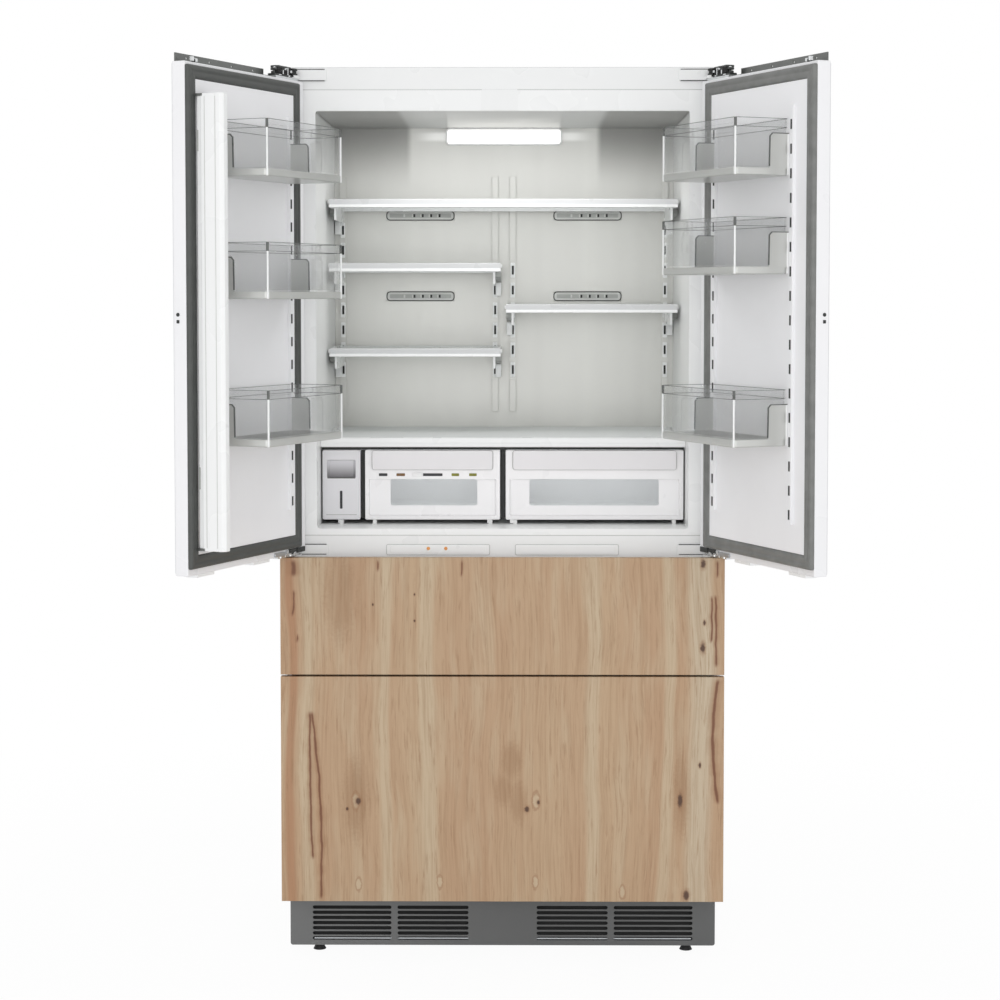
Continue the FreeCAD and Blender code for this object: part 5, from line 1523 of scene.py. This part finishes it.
def buildBin(side, tag, spec):
    low = spec["low"][side][tag]
    high = low + spec["height"]
    base = low + spec["base"]
    rim = high - spec["rim"]
    tall = low + spec["height"] * spec["bracket"]
    wall = spec["wall"]
    x0, x1 = spec["x"]
    front = spec["y"][1]

    def loopsAt(steps):
        return [tubLoop(spec, spec["y"], grow, z) for grow, z in steps]

    def binPiece(kind, bm, finish, takes=()):
        newPiece(side + tag + "Bin" + kind, bm, side + "_door", finish, doorPlace[side], takes)
    shell = [(-2.4, base + 0.8), (-2.0, base + 4), (-1.4, rim), (-0.2, rim + 1), (-0.2, high - 1),
             (-0.8, high), (-0.4 - wall, high), (-1.4 - wall, rim), (-2.4 - wall, base + 0.8 + wall)]
    bm = drawn(addLoft, loopsAt(shell))
    binPiece("Shell", bm, "binClear", (side + "_" + tag.lower() + "_bin",))
    foot = [(-2.0, low), (-0.4, low + 1.4), (0.0, low + 3), (0.0, base - 1.4), (-1.2, base)]
    bm = drawn(addLoft, loopsAt(foot))
    riser = [(3.2, base - 2), (3.2, tall), (38, tall), (43, tall - 5), (44, base + 3), (47, base),
             (47, base - 2)]
    for x in (x0 + 0.2, x1 - 2.4):
        addBar(bm, riser, (x, x + 2.2))
    binPiece("Base", bm, "binSilver")
    # bright white posts where the clear walls meet and bars along the free edge of each end bracket,
    # painted highlights on those edges
    bm = bmesh.new()
    for x in (x0 - 0.5, x1 - 1.9):
        addBox(bm, (x, x + 2.4), (2.6, 6.6), (low + 1, tall), 0.6, 1)
    for x in (x0 + 2.2, x1 - 2.2):
        addPost(bm, circle(x, front - 2.2, 2.0, 10), (low + 0.5, rim))
    binPiece("Edge", bm, "brightEnamel")
    # fine grey lines along the rim and round the brackets, painted in for the dark edges that the clear
    # plastic shows
    line = spec["line"]
    bm = bmesh.new()
    for z in (high - line, rim - 0.4):
        addLoft(bm, loopsAt([(0.15, z), (-1.2, z), (-1.2, z + line), (0.15, z + line)]), ring=True)
    for x in (x0 + 2.6, x1 - 2.6):
        addPost(bm, circle(x, front - 2.6, 2.75, 10), (rim, high - 0.4))
    outline = [(3, tall), (3, tall + 1.8), (39, tall + 1.8), (44.8, tall - 4.4), (45.8, base + 3),
               (44, base + 3), (43, tall - 5), (38, tall)]
    for x in (x0 - 0.2, x1 - 2.8):
        addBar(bm, outline, (x, x + 3))
    binPiece("Lines", bm, "binLine")


for side in sides:
    for tag in doorBins["low"][side]:
        buildBin(side, tag, doorBins)
print("door bins built")

# mullion flap: grooved face with a bevel, grey strips laid in its two groove floors as painted shade, and
# grey catches
mullion = {
    "profile": [(-40, 7), (-38, 5), (-24, 4.6), (-22.6, 5.4), (-22.6, 12.6), (-20.8, 13.6), (-20, 14.6),
                (-20, 21), (-20.9, 21.5), (-20.9, 22.7), (-20, 23.2), (-20, 44), (-20.9, 44.5),
                (-20.9, 45.7), (-20, 46.2), (-20, 54), (-20.8, 55.4), (-25.5, 60.5), (-27.5, 61.2),
                (-38, 61.2), (-40, 59.4)],
    "z": (895, 1747),
    "middle": (-30, 37),
    "shrink": (0.06, 0.03),
    "soft": 1.6,
    "catches": [((-26, -22.2), (3.4, 8), (1640, 1680)), ((-26, -22.2), (3.4, 8), (1010, 1052))],
    # grey strips in the groove floors, painted shade
    "grooves": [((-21, -20.3), (21.4, 22.8), (901, 1741)), ((-21, -20.3), (44.4, 45.8), (901, 1741))],
}


def buildMullion(spec):
    z0, z1 = spec["z"]
    (mx, my), (sx, sy) = spec["middle"], spec["shrink"]
    face = spec["profile"]
    end = [(x + (mx - x) * sx, y + (my - y) * sy) for x, y in face]
    loops = [atZ(end, z0), atZ(face, z0 + spec["soft"]), atZ(face, z1 - spec["soft"]), atZ(end, z1)]
    place = doorPlace["left"]
    bm = drawn(addLoft, loops)
    newPiece("mullionFace", bm, "mullion", "brightEnamel", place, ("mullion_flap",), 28)
    boxPiece("mullionCatches", spec["catches"], "mullion", "ventPlastic", 0.8, place=place)
    boxPiece("mullionGrooves", spec["grooves"], "mullion", "ventField", place=place)


buildMullion(mullion)

# hinge links: stacked plates over each upper hinge arm with bright and dark parts, and bright links below
hingeStack = {
    "plates": [
        ((-409, -343), (-35, -13), (1812.2, 1816.5)),
        ((-404, -352), (-33, -15), (1817.5, 1822)),
        ((-398, -345), (-30, -13), (1823, 1827.5)),
        ((-408, -352), (-34, -15), (1828.5, 1833)),
    ],
    "pins": [(-400, -25, 1833.4), (-372, -24, 1833.4), (-352, -22, 1828), (-386, -17, 1828)],
    "pinFoot": 1812.5,
    "pinRadius": 3.2,
    # finish, Y, then X and Z of each: on the side towards the cabinet, and at the lower corner of the door
    "parts": {
        "Bright": ("brightSteel", (-16, -11.6), [
            ((-404, -397), (1821, 1826)),
            ((-389, -386), (1815, 1830)),
            ((-381, -375), (1825, 1828)),
            ((-371, -367), (1816, 1824)),
            ((-362, -352), (1812.6, 1815)),
            ((-396, -390), (1812.6, 1815.5)),
        ]),
        "Dark": ("gapSeal", (-16, -12), [
            ((-397, -390), (1816, 1829)),
            ((-385, -376), (1816, 1824)),
            ((-366, -348), (1817, 1829)),
            ((-410, -404), (1814, 1831)),
        ]),
        "CornerDark": ("linkSteel", (-9.3, -5.4), [
            ((-437, -405), (848.4, 858.8)),
            ((-402, -374), (851.5, 858.6)),
            ((-388, -382), (847.6, 851)),
        ]),
        "CornerBright": ("brightSteel", (-9.3, -4.8), [
            ((-400, -390), (847.4, 851)),
            ((-380, -373), (847.6, 851)),
            ((-370, -361), (848.5, 857.5)),
        ]),
        "CornerGrey": ("slideZinc", (-9.3, -5.8), [((-357, -318), (847.6, 856))]),
    },
    "links": [
        ((-425, -404), (-32, -12)),
        ((-400, -386), (-30, -10.5)),
        ((-382, -366), (-33, -12)),
        ((-362, -346), (-30, -10.5)),
    ],
    "linkZ": (842.2, 846.8),
    "corner": 5,
}


def buildHinges(side, spec):
    body = side + "_door"
    place = doorPlace[side]
    corner = spec["corner"]
    bm = bmesh.new()
    for xs, ys, zs in spec["plates"]:
        addSlab(bm, lambda amount: roundRect(inset(xs, amount), inset(ys, amount), corner), zs)
    for x, y, z in spec["pins"]:
        addPost(bm, circle(x, y, spec["pinRadius"], 12), (spec["pinFoot"], z))
    newPiece(side + "HingeStack", bm, body, "linkSteel", place)
    for kind, (finish, ys, spans) in spec["parts"].items():
        boxes = [(xs, ys, zs) for xs, zs in spans]
        boxPiece(side + "Hinge" + kind + "Parts", boxes, body, finish, 0.7, place=place)
    bm = bmesh.new()
    for xs, ys in spec["links"]:
        addSlab(bm, shrinking(xs, ys, corner), spec["linkZ"])
    newPiece(side + "LowerLinks", bm, body, "brightSteel", place)
    headPiece(side + "HingePins", spec["pins"], body, "bracket_steel", "brightSteel", 4.6, 1.6, place=place)


for side in sides:
    buildHinges(side, hingeStack)

# stop bolt near the free end of each panel rail
railStop = {
    "y": (-20, -11),
    # finish, then X and Z of each
    "parts": {
        "Bright": ("brightSteel", [((-52, -44), (1808, 1815)), ((-40, -36), (1809, 1818))]),
        "Dark": ("gapSeal", [((-44, -40), (1806.5, 1813))]),
    },
}
for side in sides:
    for kind, (finish, spans) in railStop["parts"].items():
        boxes = [(xs, railStop["y"], zs) for xs, zs in spans]
        boxPiece(side + "RailStop" + kind, boxes, side + "_door", finish, 1.0,
                 place=doorPlace[side])

# knuckles that the hinge arms turn on: radius and Z of each ring
hingeKnuckles = {
    "pivots": ((-427, -25), (427, -25)),
    "rings": [(10.5, (1818, 1822.6)), (8.5, (1823, 1827.4)), (10.5, (1828, 1832.6))],
    "armHalf": 6,
    "armY": (-19, -2.5),
}


def buildKnuckles(spec):
    bm = bmesh.new()
    for x, y in spec["pivots"]:
        for radius, zs in spec["rings"]:
            addSlab(bm, lambda amount: circle(x, y, radius - amount, 20), zs)
            addBox(bm, around(x, spec["armHalf"]), spec["armY"], inset(zs, 0.5), 0.5)
    newPiece("hingeKnuckles", bm, "cabinet", "linkSteel")


buildKnuckles(hingeKnuckles)

# two small fixings in the free edge of each door: a square one and a round one over it
edgeFixings = {"x": (-3.2, -2.2), "y": -27, "z": (1324, 1337), "half": 3.2, "radius": 3.6}
for side in sides:
    y, (low, high), half = edgeFixings["y"], edgeFixings["z"], edgeFixings["half"]
    bm = drawn(addBox, edgeFixings["x"], around(y, half), around(low, half), 0.5, 1)
    addBar(bm, circle(y, high, edgeFixings["radius"], 14), edgeFixings["x"])
    newPiece(side + "EdgeFixings", bm, side + "_door", "linkSteel", doorPlace[side])

# white clips under each door
doorClips = {"x": ((-306, -244), (-100, -38)), "y": (-37, -12), "z": (840.6, 847.2)}
for side in sides:
    boxes = [(xs, doorClips["y"], doorClips["z"]) for xs in doorClips["x"]]
    boxPiece(side + "DoorClips", boxes, side + "_door", "brightEnamel", 1.2,
             place=doorPlace[side])
print("doors built")

# black strip behind the gap between the two wood fronts, painted shade that makes the gap read dark
gapStrip = ((-429, 429), (-43.5, -40), (596.2, 599.2))
boxPiece("frontGapSeal", [gapStrip], "upper_drawer", "gapSeal", 0.3, 1)

# freezer baskets: tub with soft corners, a rolled rim and ribs across its floor
baskets = {
    "upper": {"y": (-8.8, 400), "z": (624, 790)},
    "lower": {"y": (-8.8, 300), "z": (177, 566)},
    "x": (-370.5, 370.5),
    "wall": 2.6,
    "rim": (4, 9),
    "corner": 14,
    "ribs": (-330, 60, 12),
    "ribHalf": 2,
    "ribEnds": (34, 26),
    "ribZ": (-0.4, 1.6),
}


def buildBasket(tag, spec):
    (y0, y1), (z0, z1) = spec[tag]["y"], spec[tag]["z"]
    wall = spec["wall"]
    out, deep = spec["rim"]
    steps = [(-6, z0), (-1.5, z0 + 1.5), (0, z0 + 6), (0, z1 - deep), (out, z1 - deep), (out, z1 - 1.5),
             (out - 1.5, z1), (-wall, z1), (-wall, z0 + 8), (-wall - 1.5, z0 + 4), (-wall - 6, z0 + wall)]
    body = tag + "_drawer"
    bm = drawn(addLoft, [tubLoop(spec, (y0, y1), grow, z) for grow, z in steps])
    newPiece(tag + "Basket", bm, body, "basketPlastic", takes=(tag + "_basket",))
    start, step, count = spec["ribs"]
    nearEnd, farEnd = spec["ribEnds"]
    ribX = around(start, spec["ribHalf"])
    ribZ = moved(spec["ribZ"], z0 + wall)
    bm = drawn(addBox, ribX, (y0 + nearEnd, y1 - farEnd), ribZ, 0.8)
    rowPiece(tag + "BasketRibs", bm, body, "basketPlastic", count, (step, 0, 0))


for tag in ("upper", "lower"):
    buildBasket(tag, baskets)

# case: a folded rim and stiffening beads pressed into the back, side and top sheets, and their screws.
# each sheet is drawn flat, X across and Z along it, standing out towards lower Y
casePlace = {
    "Back": toMetres @ Matrix.Translation((0, 550, 0)) @ Matrix.Rotation(math.pi, 4, "Z"),
    "Right": toMetres @ Matrix.Translation((449, 0, 0)) @ Matrix.Rotation(math.pi / 2, 4, "Z"),
    "Top": toMetres @ Matrix.Translation((0, 0, 1838)) @ Matrix.Rotation(-math.pi / 2, 4, "X"),
}
casePlace["Left"] = mirrorX @ casePlace["Right"]
caseSide = {"rim": ((18, 549), (124, 1837)), "beads": (150, 134, 3), "ends": (200, 1760), "screws": 9}
casePress = {
    "Back": {"rim": ((-448, 448), (294, 1837)), "beads": (-320, 128, 6), "ends": (360, 1770), "screws": 9},
    "Right": caseSide,
    "Left": caseSide,
    "Top": {"rim": ((-448, 448), (18, 549)), "beads": (-320, 128, 6), "ends": (80, 490), "screws": 4},
}
rimFold = [(0.6, 0.3), (0.6, -1.6), (1.6, -2.4), (16, -2.4), (17.2, -1.6), (17.6, 0.3)]
caseScrews = {"in": (8.5, 30), "y": -2.5, "head": (5, 1.8, (90, 0, 0))}
caseBead = {"half": 11, "proud": 3.4, "foot": 0.4, "steps": 8, "ends": [(0, 0.1), (0.5, 0.7), (1.3, 1)]}


def addBead(bm, x, zs, spec):
    half, steps = spec["half"], spec["steps"]
    turns = [math.pi * k / steps for k in range(steps + 1)]
    rows = [(zs[0] + half * along, grow) for along, grow in spec["ends"]]
    rows += [(zs[1] - half * along, grow) for along, grow in reversed(spec["ends"])]
    loops = []
    for z, grow in rows:
        loop = [(x + half * grow * math.cos(a), -spec["proud"] * grow * math.sin(a), z) for a in turns]
        loops.append(loop + [(x - half * grow, spec["foot"], z), (x + half * grow, spec["foot"], z)])
    addLoft(bm, loops)


def buildCasePress(face, spec):
    name = "case" + face
    place = casePlace[face]
    bm = drawn(addFrame, *spec["rim"], 3, rimFold)
    newPiece(name + "Rim", bm, "cabinet", "caseSteel", place)
    start, step, count = spec["beads"]
    bm = drawn(addBead, start, spec["ends"], caseBead)
    rowPiece(name + "Beads", bm, "cabinet", "caseSteel", count, (step, 0, 0), place=place)
    columns, (low, high) = (inset(span, amount) for span, amount in zip(spec["rim"], caseScrews["in"]))
    gap = (high - low) / (spec["screws"] - 1)
    heads = [(x, caseScrews["y"], low + gap * k) for x in columns for k in range(spec["screws"])]
    headPiece(name + "Screws", heads, "cabinet", "bracket_steel", "slideZinc", *caseScrews["head"], place)


for face, spec in casePress.items():
    buildCasePress(face, spec)

# steel plates on the top that stop the cabinet from tipping
tipPlates = {
    "x": ((-372, -252), (252, 372)),
    "z": (455, 535),
    "y": (-3.6, 0.3),
    "slots": (-20, 20),
    "slotHalf": (4, 18),
    "slotY": (-3.9, -3),
    "screwIn": 14,
    "screwY": -3.9,
    "head": (7, 2.6, (90, 0, 0)),
}


def buildTipPlates(spec):
    plates = bmesh.new()
    slots = bmesh.new()
    heads = []
    wide, tall = spec["slotHalf"]
    z = sum(spec["z"]) / 2
    for xs in spec["x"]:
        addRoundPlate(plates, xs, spec["z"], spec["y"], 8, 0.8)
        for offset in spec["slots"]:
            middle = sum(xs) / 2 + offset
            addRoundPlate(slots, around(middle, wide), around(z, tall), spec["slotY"], wide, 0.2)
        heads += [(x, spec["screwY"], z) for x in inset(xs, spec["screwIn"])]
    place = casePlace["Top"]
    newPiece("tipPlates", plates, "cabinet", "slideZinc", place)
    newPiece("tipPlateSlots", slots, "cabinet", "slotShadow", place)
    headPiece("tipPlateScrews", heads, "cabinet", "bracket_steel", "slideZinc", *spec["head"], place)


buildTipPlates(tipPlates)

# outer face of each door: primed skin, pressed border and the slotted strips that a front panel hangs on
doorFront = {
    "skin": ((-442, -5), (849, 1805), (-38.7, -37.6)),
    "border": ((-430, -17), (862, 1792)),
    "profile": [(0, -38.4), (0.8, -39.6), (2.5, -40.2), (9, -40.2), (10.8, -39.6), (11.6, -38.4)],
    "strips": (-390, -70),
    "half": 12,
    "y": (-40.4, -37.8),
    "z": (905, 1750),
    "slots": 8,
    "slot": (3.5, (40, 64), (-40.6, -39.8)),
    "screwIn": 16,
    "screwY": -40.6,
    "head": (5, 1.8, (90, 0, 0)),
}


def buildDoorFront(side, spec):
    body = side + "_door"
    place = doorPlace[side]
    z0, z1 = spec["z"]
    bm = drawn(addRoundPlate, *spec["skin"], 4, 0.5)
    newPiece(side + "DoorSkin", bm, body, "doorSkin", place)
    bm = drawn(addFrame, *spec["border"], 8, spec["profile"])
    newPiece(side + "DoorBorder", bm, body, "doorSkin", place)
    bm = bmesh.new()
    heads = []
    for x in spec["strips"]:
        addRoundPlate(bm, around(x, spec["half"]), (z0, z1), spec["y"], 4, 0.6)
        levels = (z0 + spec["screwIn"], (z0 + z1) / 2, z1 - spec["screwIn"])
        heads += [(x, spec["screwY"], z) for z in levels]
    newPiece(side + "PanelStrips", bm, body, "slideZinc", place)
    first, second = spec["strips"]
    half, zs, ys = spec["slot"]
    bm = drawn(addRoundPlate, around(first, half), moved(zs, z0), ys, 3.4, 0.2)
    rowPiece(side + "PanelStripSlots", bm, body, "slotShadow", spec["slots"],
             (0, 0, (z1 - z0) / spec["slots"]), 2, (second - first, 0, 0), place)
    headPiece(side + "PanelStripScrews", heads, body, "bracket_steel", "brightSteel", *spec["head"], place)


for side in sides:
    buildDoorFront(side, doorFront)

# screws in the rear cover
rearScrews = {"x": (-425, -215, 0, 215, 425), "y": 549.9, "z": (32, 280), "head": (5, 1.8, (-90, 0, 0))}
heads = [(x, rearScrews["y"], z) for x in rearScrews["x"] for z in rearScrews["z"]]
headPiece("rearCoverScrews", heads, "cabinet", "bracket_steel", "slideZinc", *rearScrews["head"])
print("drawers and back dressed")

# studio: pale floor, white surround and soft lamps
studio = {"floor": 9.0, "colour": 0.95, "surround": 0.81, "seen": 0.95, "fade": (0.9, 2.4)}


def seenDirectly(tree):
    path = addNode(tree, "ShaderNodeLightPath").outputs
    seen = addMath(tree, "MAXIMUM", path["Is Camera Ray"], path["Is Glossy Ray"])
    return addMath(tree, "MAXIMUM", seen, path["Is Transmission Ray"])


def buildSurround(spec):
    world = bpy.data.worlds.new("studio")
    world.use_nodes = True
    scene.world = world
    tree = world.node_tree
    strength = addRange(tree, seenDirectly(tree), 0.0, 1.0, spec["surround"], 1.0)
    fillSockets(tree, tree.nodes["Background"], {"Color": (1, 1, 1, 1), "Strength": strength})


def buildFloor(spec):
    half = spec["floor"]
    corners = [(-half, -half, 0), (half, -half, 0), (half, half, 0), (-half, half, 0)]
    mesh = bpy.data.meshes.new("floor")
    mesh.from_pydata(corners, [], [(0, 1, 2, 3)])
    floor = bpy.data.objects.new("floor", mesh)
    scene.collection.objects.link(floor)
    paint = bpy.data.materials.new("floorPaint")
    paint.use_nodes = True
    tree = paint.node_tree
    tree.nodes.clear()
    matt = addNode(tree, "ShaderNodeBsdfDiffuse", {"Color": (spec["colour"],) * 3 + (1,)}).outputs[0]
    glow = addNode(tree, "ShaderNodeEmission", {"Color": (1, 1, 1, 1), "Strength": 1.0}).outputs[0]
    place = addNode(tree, "ShaderNodeTexCoord").outputs["Object"]
    away = addNode(tree, "ShaderNodeVectorMath", {0: place}, operation="LENGTH").outputs["Value"]
    share = addFade(tree, away, *spec["fade"], spec["seen"], 1.0)
    amount = addMath(tree, "MULTIPLY", seenDirectly(tree), share)
    mixed = addNode(tree, "ShaderNodeMixShader", {0: amount, 1: matt, 2: glow}).outputs[0]
    addNode(tree, "ShaderNodeOutputMaterial", {"Surface": mixed})
    mesh.materials.append(paint)


buildSurround(studio)
buildFloor(studio)

# place, aim, two sides, power, and whether it is mirrored in what it lights
lamps = {
    "frontLamp": ((-1.2, -4.8, 1.5), (0, 0, 1.0), (3.2, 3.2), 34, True),
    "sideLamp": ((2.0, -4.2, 1.2), (0, 0, 1.0), (2.6, 2.6), 17, True),
    "insideLamp": ((0, 0.06, 1.70), (0, 0.26, 1.0), (0.55, 0.26), 1.1, False),
    "crisperLamp": ((0.04, 0.2, 1.0515), (0.04, 0.2, 0.9), (0.66, 0.3), 0.5, False),
}


def buildLamp(name, place, aim, size, power, mirrored):
    data = bpy.data.lights.new(name, "AREA")
    data.shape = "RECTANGLE"
    data.size, data.size_y = size
    data.energy = power
    lamp = bpy.data.objects.new(name, data)
    lamp.location = place
    way = Vector(aim) - Vector(place)
    lamp.rotation_euler = way.to_track_quat("-Z", "Y").to_euler()
    lamp.visible_glossy = mirrored
    lamp.visible_camera = False
    scene.collection.objects.link(lamp)


for name, spec in lamps.items():
    buildLamp(name, *spec)
print("studio lit")
